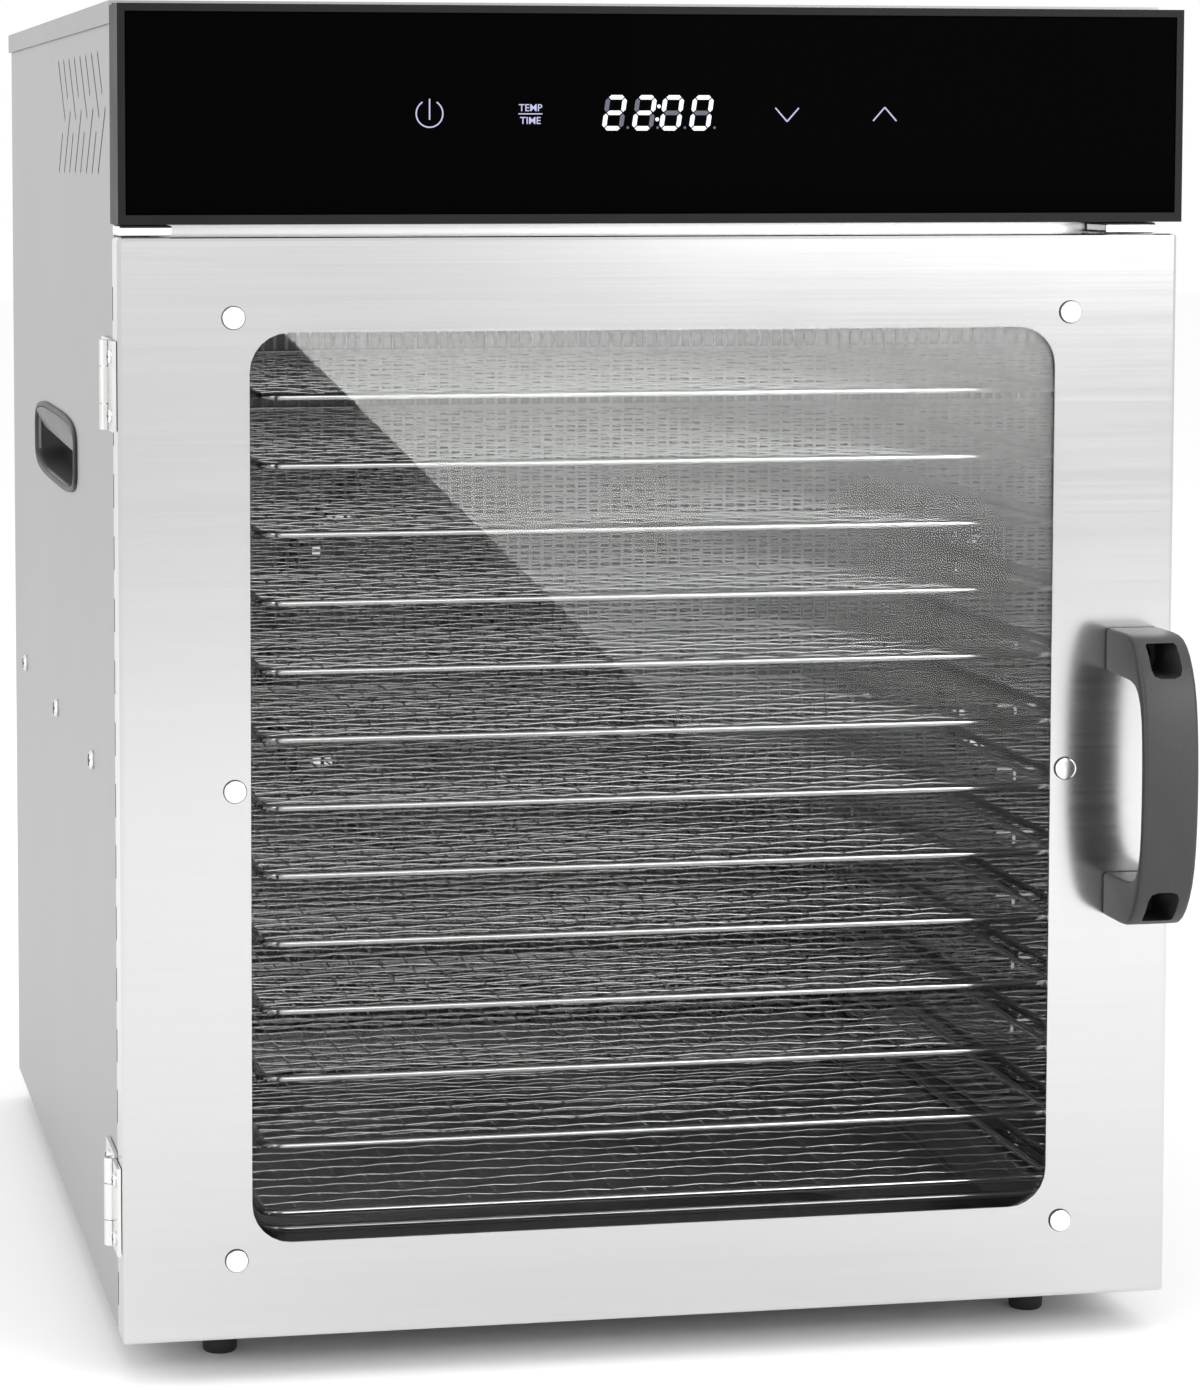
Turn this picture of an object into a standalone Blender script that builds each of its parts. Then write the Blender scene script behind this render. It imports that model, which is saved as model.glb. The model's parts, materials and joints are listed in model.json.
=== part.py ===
"""Cabinet food dehydrator: steel case, glazed hinged door, slide-out mesh trays, rear fan.

Units are metres.  +Z is up, the front faces -Y, and the origin lies on the floor under the
middle of the appliance.  Depths in this file are measured backwards from the door's front face.
"""
import math

import bmesh
import bpy
from mathutils import Matrix, Vector

# ---------------------------------------------------------------- driving dimensions
WIDTH = 0.440
DEPTH = 0.520
CASE_TOP = 0.5566
FLOOR_GAP = 0.0150
SHEET = 0.0012
GAP = 0.0003

DOOR_BOTTOM = 0.0172
DOOR_HEIGHT = 0.4454
DOOR_THICK = 0.0200
DOOR_LIP = 0.0120
WINDOW_WIDTH = 0.3350
WINDOW_HEIGHT = 0.3682
WINDOW_LOW = 0.0392
WINDOW_RADIUS = 0.0160
DOOR_AIR = 0.0055
CASE_FRONT = DOOR_THICK + DOOR_AIR

FASCIA_PROUD = 0.0040
FASCIA_RISE = 0.0050
FASCIA_HEIGHT = 0.0869

TRAY_COUNT = 13
TRAY_PITCH = 0.0283
TRAY_LOW = 0.0564
TRAY_WIDTH = 0.3450
FAN_ROOM = 0.1430
TRAY_DEPTH = DEPTH - FAN_ROOM
TRAY_WIRE = 0.0040
TRAY_SETBACK = 0.0230
CAVITY_SHIFT = 0.0135
CAVITY_SIDE_GAP = 0.0050
LEDGE = 0.0220

VENT_START = 0.0860
VENT_PITCH = 0.0247
VENT_TOP = 0.5375
VENT_BOTTOM = 0.4873
VENT_WIDTH = 0.0024

HANDLE_PROUD = 0.0485
HANDLE_LENGTH = 0.1206
HANDLE_WIDTH = 0.0235
FAN_RADIUS = 0.0920
HINGE_LENGTH = 0.0360
HINGE_RADIUS = 0.0028
PIN_RADIUS = 0.0016
PIN_CLEARANCE = 0.00005
INLET_PROUD = 0.0080

# ---------------------------------------------------------------- sizes that follow
DOOR_TOP = DOOR_BOTTOM + DOOR_HEIGHT
FASCIA_LOW = DOOR_TOP + FASCIA_RISE
FASCIA_TOP = FASCIA_LOW + FASCIA_HEIGHT
LID_UNDER = CASE_TOP - SHEET
SIDE_OUT = WIDTH / 2 - SHEET - GAP
SIDE_IN = SIDE_OUT - SHEET
WINDOW_BOTTOM = DOOR_BOTTOM + WINDOW_LOW
WINDOW_MID = WINDOW_BOTTOM + WINDOW_HEIGHT / 2
FRAME_FRONT = CASE_FRONT + SHEET + GAP
FRAME_BACK = FRAME_FRONT + SHEET
LINER_FRONT = FRAME_BACK + GAP
TRAY_FRONT = DOOR_THICK + TRAY_SETBACK
TRAY_BACK = TRAY_FRONT + TRAY_DEPTH
LINER_BACK = TRAY_BACK + 0.010
TRAY_LEFT = CAVITY_SHIFT - TRAY_WIDTH / 2 + 0.001
TRAY_RIGHT = TRAY_LEFT + TRAY_WIDTH
CAVITY_LEFT = CAVITY_SHIFT - TRAY_WIDTH / 2 - CAVITY_SIDE_GAP
CAVITY_RIGHT = CAVITY_SHIFT + TRAY_WIDTH / 2 + CAVITY_SIDE_GAP
TRAY_HIGH = TRAY_LOW + TRAY_PITCH * (TRAY_COUNT - 1)
CAVITY_LOW = TRAY_LOW - 0.0264
CAVITY_TOP = min(TRAY_HIGH + 0.050, FASCIA_LOW - 0.016)
FAN_X = CAVITY_SHIFT
FAN_Z = (CAVITY_LOW + CAVITY_TOP) / 2
CASE_BACK = DEPTH
REAR_FRONT = DEPTH - SHEET
BACK_ALL = DEPTH + INLET_PROUD
MID_DEPTH = (BACK_ALL - HANDLE_PROUD) / 2
HINGE_X = -WIDTH / 2 - 0.0022
HINGE_D = DOOR_THICK + 0.0037
HINGE_HEIGHTS = (DOOR_BOTTOM + 0.0356, DOOR_TOP - 0.0772)


def y_at(depth):
    return depth - MID_DEPTH


# ---------------------------------------------------------------- scene and materials
for old in list(bpy.data.objects):
    bpy.data.objects.remove(old, do_unlink=True)

parts = bpy.data.collections.new("food_dehydrator")
cutters = bpy.data.collections.new("cutters")
bpy.context.scene.collection.children.link(parts)
bpy.context.scene.collection.children.link(cutters)


def finish(name, colour, roughness, metallic):
    mat = bpy.data.materials.new(name)
    mat.use_nodes = True
    shader = mat.node_tree.nodes["Principled BSDF"]
    shader.inputs["Base Color"].default_value = (colour[0], colour[1], colour[2], 1.0)
    shader.inputs["Roughness"].default_value = roughness
    shader.inputs["Metallic"].default_value = metallic
    return mat


STEEL = finish("brushed_steel", (0.60, 0.60, 0.59), 0.34, 1.0)
BRIGHT = finish("bright_steel", (0.70, 0.70, 0.69), 0.16, 1.0)
WIRE = finish("plated_wire", (0.74, 0.74, 0.73), 0.14, 1.0)
BLACK = finish("black_plastic", (0.022, 0.022, 0.024), 0.48, 0.0)
BEZEL = finish("grey_plastic", (0.075, 0.075, 0.078), 0.42, 0.0)
GLOSS = finish("black_glass", (0.004, 0.004, 0.005), 0.06, 0.0)
CLEAR = finish("clear_glass", (0.80, 0.82, 0.82), 0.03, 0.0)
RUBBER = finish("rubber", (0.028, 0.028, 0.028), 0.80, 0.0)
HEATER = finish("heater_sheath", (0.22, 0.20, 0.19), 0.45, 1.0)
MOTOR = finish("motor_steel", (0.42, 0.42, 0.43), 0.38, 1.0)
SCREEN = finish("display_white", (0.80, 0.81, 0.82), 0.50, 0.0)


# ---------------------------------------------------------------- building blocks
def add(name, mesh, origin, mat, group=parts):
    obj = bpy.data.objects.new(name, mesh)
    obj.location = Vector(origin)
    group.objects.link(obj)
    if mat is not None:
        mesh.materials.append(mat)
    if group is cutters:
        obj.hide_render = True
        obj.display_type = "WIRE"
    return obj


def boxes_mesh(name, boxes, origin):
    bm = bmesh.new()
    for (x0, x1), (d0, d1), (z0, z1) in boxes:
        centre = Vector(((x0 + x1) / 2, y_at((d0 + d1) / 2), (z0 + z1) / 2)) - Vector(origin)
        size = Matrix.Diagonal((x1 - x0, d1 - d0, z1 - z0, 1.0))
        bmesh.ops.create_cube(bm, size=1.0, matrix=Matrix.Translation(centre) @ size)
    mesh = bpy.data.meshes.new(name)
    bm.to_mesh(mesh)
    bm.free()
    return mesh


def box(name, xs, ds, zs, mat, group=parts):
    origin = ((xs[0] + xs[1]) / 2, y_at((ds[0] + ds[1]) / 2), (zs[0] + zs[1]) / 2)
    return add(name, boxes_mesh(name, [(xs, ds, zs)], origin), origin, mat, group)


def box_set(name, boxes, origin, group=cutters):
    return add(name, boxes_mesh(name, boxes, origin), origin, None, group)


def prism(name, outline, axis, span, origin, mat, group=parts):
    """Closed solid: a plane outline pushed along one axis.  Outline points are (x, z) for Y,
    (x, y) for Z and (y, z) for X; all are world values."""
    bm = bmesh.new()
    rings = []
    for level in span:
        ring = []
        for a, b in outline:
            if axis == "Y":
                point = Vector((a, level, b))
            elif axis == "Z":
                point = Vector((a, b, level))
            else:
                point = Vector((level, a, b))
            ring.append(bm.verts.new(point - Vector(origin)))
        rings.append(ring)
    count = len(outline)
    bm.faces.new(list(reversed(rings[0])))
    bm.faces.new(rings[1])
    for i in range(count):
        j = (i + 1) % count
        bm.faces.new((rings[0][i], rings[0][j], rings[1][j], rings[1][i]))
    bmesh.ops.recalc_face_normals(bm, faces=bm.faces)
    mesh = bpy.data.meshes.new(name)
    bm.to_mesh(mesh)
    bm.free()
    return add(name, mesh, origin, mat, group)


def rounded(x0, x1, z0, z1, radius, steps=5):
    points = []
    corners = ((x1 - radius, z1 - radius, 0), (x0 + radius, z1 - radius, 90),
               (x0 + radius, z0 + radius, 180), (x1 - radius, z0 + radius, 270))
    for cx, cz, start in corners:
        for i in range(steps + 1):
            angle = math.radians(start + 90 * i / steps)
            points.append((cx + radius * math.cos(angle), cz + radius * math.sin(angle)))
    return points


def turned(name, profile, axis, origin, mat, steps=28, group=parts):
    """Solid of revolution.  Profile rows are (radius, distance along the axis)."""
    bm = bmesh.new()
    rows = []
    for radius, along in profile:
        if radius <= 0.0:
            rows.append([bm.verts.new((0.0, 0.0, along))])
            continue
        row = []
        for i in range(steps):
            angle = 2 * math.pi * i / steps
            row.append(bm.verts.new((radius * math.cos(angle), radius * math.sin(angle), along)))
        rows.append(row)
    closed = profile[0] == profile[-1]
    if closed:
        for v in rows[-1]:
            bm.verts.remove(v)
        rows[-1] = rows[0]
    for low, high in zip(rows[:-1], rows[1:]):
        for i in range(steps):
            j = (i + 1) % steps
            if len(low) == 1:
                bm.faces.new((low[0], high[j], high[i]))
            elif len(high) == 1:
                bm.faces.new((low[i], low[j], high[0]))
            else:
                bm.faces.new((low[i], low[j], high[j], high[i]))
    bmesh.ops.recalc_face_normals(bm, faces=bm.faces)
    turn = {"Z": Matrix.Identity(4),
            "Y": Matrix.Rotation(math.radians(-90), 4, "X"),
            "-Y": Matrix.Rotation(math.radians(90), 4, "X"),
            "X": Matrix.Rotation(math.radians(90), 4, "Y")}[axis]
    bmesh.ops.transform(bm, matrix=turn, verts=bm.verts)
    mesh = bpy.data.meshes.new(name)
    bm.to_mesh(mesh)
    bm.free()
    for face in mesh.polygons:
        face.use_smooth = len(face.vertices) == 4 and steps > 8
    return add(name, mesh, origin, mat, group)


def combine(obj, tool, how="DIFFERENCE"):
    step = obj.modifiers.new(how.lower(), "BOOLEAN")
    step.operation = how
    step.solver = "EXACT"
    step.object = tool


def soften(obj, width, segments=2):
    step = obj.modifiers.new("edges", "BEVEL")
    step.width = width
    step.segments = segments
    step.limit_method = "ANGLE"
    step.angle_limit = math.radians(40)


# ---------------------------------------------------------------- outer case
def vent_slots(tag, side):
    """Two rows of slanting slots that make an arrow pointing forwards."""
    outlines = []
    for i in range(8):
        start = y_at(VENT_START + VENT_PITCH * i)
        for row, level in ((1, VENT_TOP), (-1, VENT_BOTTOM)):
            long_slot = (i % 2 == 1) == (row == 1)
            run, rise = (0.0305, 0.0270) if long_slot else (0.0180, 0.0175)
            outlines.append(((start - run, level - row * rise), (start, level)))
    bm = bmesh.new()
    for a, b in outlines:
        run = Vector((0.0, b[0] - a[0], b[1] - a[1])).normalized()
        cross = Vector((0.0, run.z, -run.y)) * (VENT_WIDTH / 2)
        ring = []
        for x in (side * (SIDE_OUT - 0.004), side * (SIDE_OUT + 0.002)):
            base = [Vector((x, a[0], a[1])) - cross, Vector((x, a[0], a[1])) + cross,
                    Vector((x, b[0], b[1])) + cross, Vector((x, b[0], b[1])) - cross]
            ring.append([bm.verts.new(p) for p in base])
        bm.faces.new(ring[0])
        bm.faces.new(list(reversed(ring[1])))
        for k in range(4):
            m = (k + 1) % 4
            bm.faces.new((ring[0][k], ring[1][k], ring[1][m], ring[0][m]))
    bmesh.ops.recalc_face_normals(bm, faces=bm.faces)
    mesh = bpy.data.meshes.new("cut_vents_" + tag)
    bm.to_mesh(mesh)
    bm.free()
    return add("cut_vents_" + tag, mesh, (0.0, 0.0, 0.0), None, cutters)


GRIP_DEPTHS = (0.183, 0.378)
GRIP_HEIGHTS = (0.3435, 0.3785)


def side_panel(tag, side):
    out, inner = side * SIDE_OUT, side * SIDE_IN
    fold = side * (SIDE_OUT - 0.0145)
    plan = [(out, y_at(CASE_FRONT)), (out, y_at(REAR_FRONT - GAP)),
            (inner, y_at(REAR_FRONT - GAP)), (inner, y_at(CASE_FRONT + SHEET)),
            (fold, y_at(CASE_FRONT + SHEET)), (fold, y_at(CASE_FRONT))]
    span = (FLOOR_GAP, LID_UNDER - GAP)
    panel = prism("side_panel_" + tag, plan, "Z", span, (out, y_at(0.27), 0.285), STEEL)
    hole = rounded(y_at(GRIP_DEPTHS[0]) + 0.0030, y_at(GRIP_DEPTHS[1]) - 0.0030,
                   GRIP_HEIGHTS[0] + 0.0030, GRIP_HEIGHTS[1] - 0.0030, 0.0110)
    reach = (out - 0.005, out + 0.005)
    combine(panel, prism("cut_grip_" + tag, hole, "X", reach, (out, 0, 0), None, cutters))
    combine(panel, vent_slots(tag, side))
    return panel


def side_handle(tag, side):
    """Moulded grip pocket: a rim outside the sheet and a hollow box reaching inwards."""
    face = side * (SIDE_OUT + GAP)
    rim = rounded(y_at(GRIP_DEPTHS[0]), y_at(GRIP_DEPTHS[1]), GRIP_HEIGHTS[0],
                  GRIP_HEIGHTS[1], 0.0140)
    cup = rounded(y_at(GRIP_DEPTHS[0]) + 0.0033, y_at(GRIP_DEPTHS[1]) - 0.0033,
                  GRIP_HEIGHTS[0] + 0.0033, GRIP_HEIGHTS[1] - 0.0033, 0.0107)
    pocket = rounded(y_at(GRIP_DEPTHS[0]) + 0.0055, y_at(GRIP_DEPTHS[1]) - 0.0055,
                     GRIP_HEIGHTS[0] + 0.0055, GRIP_HEIGHTS[1] - 0.0055, 0.0085)
    depth = 0.0200
    grip = prism("side_handle_" + tag, rim, "X", sorted((face, face + side * 0.0015)),
                 (face, y_at(sum(GRIP_DEPTHS) / 2), sum(GRIP_HEIGHTS) / 2), BLACK)
    shell = prism("add_cup_" + tag, cup, "X", sorted((face + side * 0.0008, face - side * depth)),
                  (face, 0, 0), None, cutters)
    hollow = prism("cut_pocket_" + tag, pocket, "X",
                   sorted((face + side * 0.004, face - side * (depth - 0.0022))),
                   (face, 0, 0), None, cutters)
    combine(grip, shell, "UNION")
    combine(grip, hollow)
    return grip


def top_cover():
    w, low = WIDTH / 2, CASE_TOP - 0.0090
    section = [(-w, low), (-w, CASE_TOP), (w, CASE_TOP), (w, low), (w - SHEET, low),
               (w - SHEET, LID_UNDER), (-w + SHEET, LID_UNDER), (-w + SHEET, low)]
    span = (y_at(CASE_FRONT), y_at(CASE_BACK))
    return prism("top_cover", section, "Y", span, (0, y_at(0.27), CASE_TOP), STEEL)


def base_pan():
    w, low, rise = SIDE_IN - GAP, FLOOR_GAP, 0.0120
    section = [(-w, low + rise), (-w, low), (w, low), (w, low + rise), (w - SHEET, low + rise),
               (w - SHEET, low + SHEET), (-w + SHEET, low + SHEET), (-w + SHEET, low + rise)]
    span = (y_at(FRAME_BACK + GAP), y_at(REAR_FRONT - GAP))
    return prism("base_pan", section, "Y", span, (0, y_at(0.27), FLOOR_GAP), STEEL)


def rear_cover():
    panel = box("rear_cover", (-SIDE_OUT, SIDE_OUT), (REAR_FRONT, CASE_BACK),
                (FLOOR_GAP, LID_UNDER - GAP), STEEL)
    slots = []
    for row in range(9):
        z = FAN_Z - 0.064 + 0.016 * row
        for mid in (FAN_X - 0.042, FAN_X + 0.042):
            slots.append(((mid - 0.034, mid + 0.034), (REAR_FRONT - 0.002, CASE_BACK + 0.002),
                          (z - 0.0025, z + 0.0025)))
    combine(panel, box_set("cut_rear_slots", slots, (0, 0, 0)))
    combine(panel, turned("cut_inlet", [(0, -0.01), (0.0054, -0.01), (0.0054, 0.01), (0, 0.01)],
                          "Y", (INLET_X, y_at(DEPTH), INLET_Z), None, 28, cutters))
    return panel


INLET_X = 0.165
INLET_Z = 0.052


def power_inlet():
    """Cord gland: a collar outside the rear sheet on a neck that passes through it."""
    rows = [(0.0034, -0.0160), (0.0052, -0.0160), (0.0052, GAP), (0.0090, GAP),
            (0.0090, 0.0055), (0.0066, INLET_PROUD), (0.0034, INLET_PROUD), (0.0034, -0.0160)]
    return turned("power_inlet", rows, "Y", (INLET_X, y_at(DEPTH), INLET_Z), BLACK)


def front_frame():
    w = SIDE_IN - GAP
    plate = box("front_frame", (-w, w), (FRAME_FRONT, FRAME_BACK),
                (FLOOR_GAP + SHEET + GAP, LID_UNDER - GAP), BRIGHT)
    through = (FRAME_FRONT - 0.003, FRAME_BACK + 0.003)
    holes = [((CAVITY_LEFT, CAVITY_RIGHT), through, (CAVITY_LOW, CAVITY_TOP)),
             ((-0.185, 0.185), through, (FASCIA_LOW + 0.014, FASCIA_TOP - 0.010))]
    combine(plate, box_set("cut_frame", holes, (0, 0, 0)))
    return plate


def feet():
    out, near, far = WIDTH / 2 - 0.045, 0.046, DEPTH - 0.046
    for i, (x, d) in enumerate(((-out, near), (out, near), (-out, far), (out, far))):
        rows = [(0, 0), (0.0066, 0), (0.0072, 0.0012), (0.0084, FLOOR_GAP - GAP), (0, FLOOR_GAP - GAP)]
        turned("foot_%d" % (i + 1), rows, "Z", (x, y_at(d), 0.0), RUBBER, 24)


# ---------------------------------------------------------------- drying cavity
def ledge_tops():
    return [TRAY_LOW + TRAY_PITCH * i - TRAY_WIRE / 2 - GAP for i in range(TRAY_COUNT)]


def liner_side(tag, side):
    face = CAVITY_LEFT if side < 0 else CAVITY_RIGHT
    plate = box("liner_" + tag, sorted((face, face + side * SHEET)), (LINER_FRONT, LINER_BACK),
                (CAVITY_LOW + GAP, CAVITY_TOP - GAP), BRIGHT)
    shelves = []
    for top in ledge_tops():
        shelves.append((sorted((face + side * SHEET / 2, face - side * LEDGE)),
                        (TRAY_FRONT + 0.0190, TRAY_BACK - 0.002), (top - SHEET, top)))
    combine(plate, box_set("add_ledges_" + tag, shelves, (0, 0, 0)), "UNION")
    return plate


def liner_level(name, z0):
    return box(name, (CAVITY_LEFT - SHEET, CAVITY_RIGHT + SHEET), (LINER_FRONT, LINER_BACK),
               (z0, z0 + SHEET), BRIGHT)


def rear_baffle():
    front = LINER_BACK + GAP
    plate = box("rear_baffle", (CAVITY_LEFT - SHEET, CAVITY_RIGHT + SHEET),
                (front, front + SHEET), (CAVITY_LOW - SHEET, CAVITY_TOP + SHEET), BRIGHT)
    slots = []
    pitch = (CAVITY_RIGHT - CAVITY_LEFT) / 14
    for i in range(14):
        x = CAVITY_LEFT + pitch * (i + 0.5)
        slots.append(((x - pitch * 0.28, x + pitch * 0.28), (front - 0.002, front + SHEET + 0.002),
                      (CAVITY_LOW + 0.018, CAVITY_TOP - 0.014)))
    combine(plate, box_set("cut_baffle", slots, (0, 0, 0)))
    return plate


FAN_FRONT = LINER_BACK + 0.030
FAN_THICK = 0.022


def fan_motor():
    start = FAN_FRONT + FAN_THICK + 0.004
    back = REAR_FRONT - GAP - start
    rows = [(0, -FAN_THICK), (0.0040, -FAN_THICK), (0.0040, -0.0006), (0.0300, 0.0),
            (0.0330, 0.003), (0.0330, back - 0.006), (0.0400, back - 0.006),
            (0.0400, back), (0, back)]
    return turned("fan_motor", rows, "Y", (FAN_X, y_at(start), FAN_Z), MOTOR)


def fan_impeller():
    """Hub with a back plate and eight upright blades, bored for the motor shaft."""
    rows = [(0.0041, 0), (0.0180, 0), (0.0200, 0.002), (0.0200, FAN_THICK - 0.002),
            (FAN_RADIUS, FAN_THICK - 0.002), (FAN_RADIUS, FAN_THICK), (0.0041, FAN_THICK),
            (0.0041, 0)]
    wheel = turned("fan_impeller", rows, "Y", (FAN_X, y_at(FAN_FRONT), FAN_Z), MOTOR, 32)
    bm = bmesh.new()
    for i in range(8):
        turn = Matrix.Rotation(2 * math.pi * (i + 0.31) / 8, 4, "Y")
        lean = Matrix.Rotation(math.radians(24), 4, "Y")
        place = Matrix.Translation((0.0560, FAN_THICK / 2 - 0.0005, 0))
        size = Matrix.Diagonal((0.0600, FAN_THICK - 0.0010, 0.0016, 1))
        bmesh.ops.create_cube(bm, size=1.0, matrix=turn @ place @ lean @ size)
    mesh = bpy.data.meshes.new("add_blades")
    bm.to_mesh(mesh)
    bm.free()
    combine(wheel, add("add_blades", mesh, (FAN_X, y_at(FAN_FRONT), FAN_Z), None, cutters), "UNION")
    return wheel


def heater_ring():
    """Tubular element bent to a ring in front of the fan, with two legs to the rear."""
    ring_r, tube = FAN_RADIUS + 0.020, 0.0040
    curve = bpy.data.curves.new("heater_curve", "CURVE")
    curve.dimensions = "3D"
    curve.bevel_depth = tube
    curve.bevel_resolution = 2
    curve.use_fill_caps = True
    line = curve.splines.new("POLY")
    points = []
    for i in range(37):
        angle = math.radians(-90 + 8 + 344 * i / 36)
        points.append((ring_r * math.cos(angle), 0.0, ring_r * math.sin(angle)))
    reach = REAR_FRONT - 0.002 - (FAN_FRONT - 0.014)
    first, last = points[0], points[-1]
    points = [(first[0], reach, first[2])] + points + [(last[0], reach, last[2])]
    line.points.add(len(points) - 1)
    for p, co in zip(line.points, points):
        p.co = (co[0], co[1], co[2], 1.0)
    temp = bpy.data.objects.new("heater_temp", curve)
    parts.objects.link(temp)
    graph = bpy.context.evaluated_depsgraph_get()
    mesh = bpy.data.meshes.new_from_object(temp.evaluated_get(graph))
    bm = bmesh.new()
    bm.from_mesh(mesh)
    bmesh.ops.remove_doubles(bm, verts=bm.verts, dist=0.00001)
    bmesh.ops.recalc_face_normals(bm, faces=bm.faces)
    bm.to_mesh(mesh)
    bm.free()
    bpy.data.objects.remove(temp, do_unlink=True)
    bpy.data.curves.remove(curve)
    mesh.materials.clear()
    for face in mesh.polygons:
        face.use_smooth = True
    return add("heater_ring", mesh, (FAN_X, y_at(FAN_FRONT - 0.014), FAN_Z), HEATER)


# ---------------------------------------------------------------- control fascia
GLASS_INSET = (0.0030, 0.0038, 0.0030)
GLASS_THICK = 0.0030
SCREEN_WIDTH = 0.0640
SCREEN_HEIGHT = 0.0240
SCREEN_X = 0.0150


def control_bezel():
    w = WIDTH / 2
    body = box("control_bezel", (-w, w), (-FASCIA_PROUD, CASE_FRONT - GAP),
               (FASCIA_LOW, FASCIA_TOP), BEZEL)
    side, low, top = GLASS_INSET
    floor = -FASCIA_PROUD + GLASS_THICK + GAP
    recess = box("cut_glass", (-w + side, w - side), (-FASCIA_PROUD - 0.002, floor),
                 (FASCIA_LOW + low, FASCIA_TOP - top), None, cutters)
    behind = box("cut_behind", (-w + 0.0032, w - 0.0032), (floor + 0.0030, CASE_FRONT + 0.002),
                 (FASCIA_LOW + 0.0032, FASCIA_TOP - 0.0032), None, cutters)
    mid = (FASCIA_LOW + FASCIA_TOP) / 2
    sight = box("cut_sight", (SCREEN_X - SCREEN_WIDTH / 2 - GAP, SCREEN_X + SCREEN_WIDTH / 2 + GAP),
                (floor - 0.001, floor + 0.004),
                (mid - SCREEN_HEIGHT / 2 - GAP, mid + SCREEN_HEIGHT / 2 + GAP), None, cutters)
    combine(body, recess)
    combine(body, behind)
    combine(body, sight)
    return body


def control_glass():
    w = WIDTH / 2
    side, low, top = GLASS_INSET
    pane = box("control_glass", (-w + side + GAP, w - side - GAP),
               (-FASCIA_PROUD, -FASCIA_PROUD + GLASS_THICK),
               (FASCIA_LOW + low + GAP, FASCIA_TOP - top - GAP), GLOSS)
    soften(pane, 0.0004, 1)
    return pane


def display_module():
    mid = (FASCIA_LOW + FASCIA_TOP) / 2
    front = -FASCIA_PROUD + GLASS_THICK + GAP
    return box("display_module", (SCREEN_X - SCREEN_WIDTH / 2, SCREEN_X + SCREEN_WIDTH / 2),
               (front, front + 0.0110), (mid - SCREEN_HEIGHT / 2, mid + SCREEN_HEIGHT / 2), SCREEN)


def fascia_bracket(tag, x0, x1):
    tab = box("fascia_bracket_" + tag, (x0, x1), (0.0010, CASE_FRONT - 0.001),
              (DOOR_TOP + 0.0005, FASCIA_LOW - GAP), STEEL)
    soften(tab, 0.0010, 2)
    return tab


# ---------------------------------------------------------------- door
def door_panel():
    w = WIDTH / 2
    shell = box("door_panel", (-w, w), (0.0, DOOR_THICK), (DOOR_BOTTOM, DOOR_TOP), STEEL)
    soften(shell, 0.0016, 2)
    inside = box("cut_door_inside", (-w + SHEET, w - SHEET), (SHEET, DOOR_THICK - SHEET),
                 (DOOR_BOTTOM + SHEET, DOOR_TOP - SHEET), None, cutters)
    back = box("cut_door_back", (-w + DOOR_LIP, w - DOOR_LIP), (DOOR_THICK / 2, DOOR_THICK + 0.002),
               (DOOR_BOTTOM + DOOR_LIP, DOOR_TOP - DOOR_LIP), None, cutters)
    view = prism("cut_window", window_outline(0.0, 6), "Y", (y_at(-0.002), y_at(SHEET + 0.002)),
                 (0, 0, 0), None, cutters)
    combine(shell, inside)
    combine(shell, back)
    combine(shell, view)
    return shell


def window_outline(grow, steps=5):
    return rounded(-WINDOW_WIDTH / 2 - grow, WINDOW_WIDTH / 2 + grow, WINDOW_BOTTOM - grow,
                   WINDOW_BOTTOM + WINDOW_HEIGHT + grow, max(WINDOW_RADIUS + grow, 0.002), steps)


GLASS_FRONT = SHEET + GAP
GLASS_BACK = GLASS_FRONT + 0.0040


def door_glass():
    return prism("door_glass", window_outline(0.0130, 4), "Y", (y_at(GLASS_FRONT), y_at(GLASS_BACK)),
                 (0, y_at(GLASS_FRONT), WINDOW_MID), CLEAR)


def glass_retainer():
    start = GLASS_BACK + GAP
    ring = prism("glass_retainer", window_outline(0.0160, 4), "Y", (y_at(start), y_at(start + 0.0020)),
                 (0, y_at(start), WINDOW_MID), BRIGHT)
    hole = prism("cut_retainer", window_outline(0.0020, 4), "Y",
                 (y_at(start - 0.002), y_at(start + 0.004)), (0, 0, 0), None, cutters)
    combine(ring, hole)
    return ring


def cap_screws():
    edge_x = WINDOW_WIDTH / 2 + 0.0064
    levels = (WINDOW_BOTTOM + WINDOW_HEIGHT + 0.0060, WINDOW_MID + 0.0004, WINDOW_BOTTOM - 0.0066)
    number = 0
    for x in (-edge_x, edge_x):
        for z in levels:
            number += 1
            rows = [(0, -GAP), (0.0045, -GAP), (0.0045, -0.0012), (0.0040, -0.0017), (0, -0.0018)]
            turned("cap_screw_%d" % number, rows, "Y", (x, y_at(0.0), z), BRIGHT, 24)


def handle_shape():
    """Side view of the bowed bridge handle, as (depth, height) points: feet and a grip."""
    half = HANDLE_LENGTH / 2
    proud = HANDLE_PROUD
    outer = [(-GAP, half - 0.0005), (-0.46 * proud, half), (-0.61 * proud, half - 0.0018),
             (-0.76 * proud, half - 0.0080), (-0.87 * proud, half - 0.0180),
             (-0.945 * proud, half - 0.0315), (-0.985 * proud, 0.0150), (-proud, 0.0035)]
    inner = [(-proud + 0.0055, 0.0060), (-proud + 0.0062, half - 0.0360),
             (-proud + 0.0088, half - 0.0270), (-proud + 0.0130, half - 0.0208),
             (-0.54 * proud, half - 0.0188), (-GAP, half - 0.0180)]
    rim = [(d, -z) for d, z in outer] + [(d, z) for d, z in reversed(outer)]
    gap = [(d, z) for d, z in reversed(inner)] + [(d, -z) for d, z in inner]
    return [(y_at(d), HANDLE_Z + z) for d, z in rim + gap]


HANDLE_X = 0.2025
HANDLE_Z = DOOR_BOTTOM + 0.2218


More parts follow.
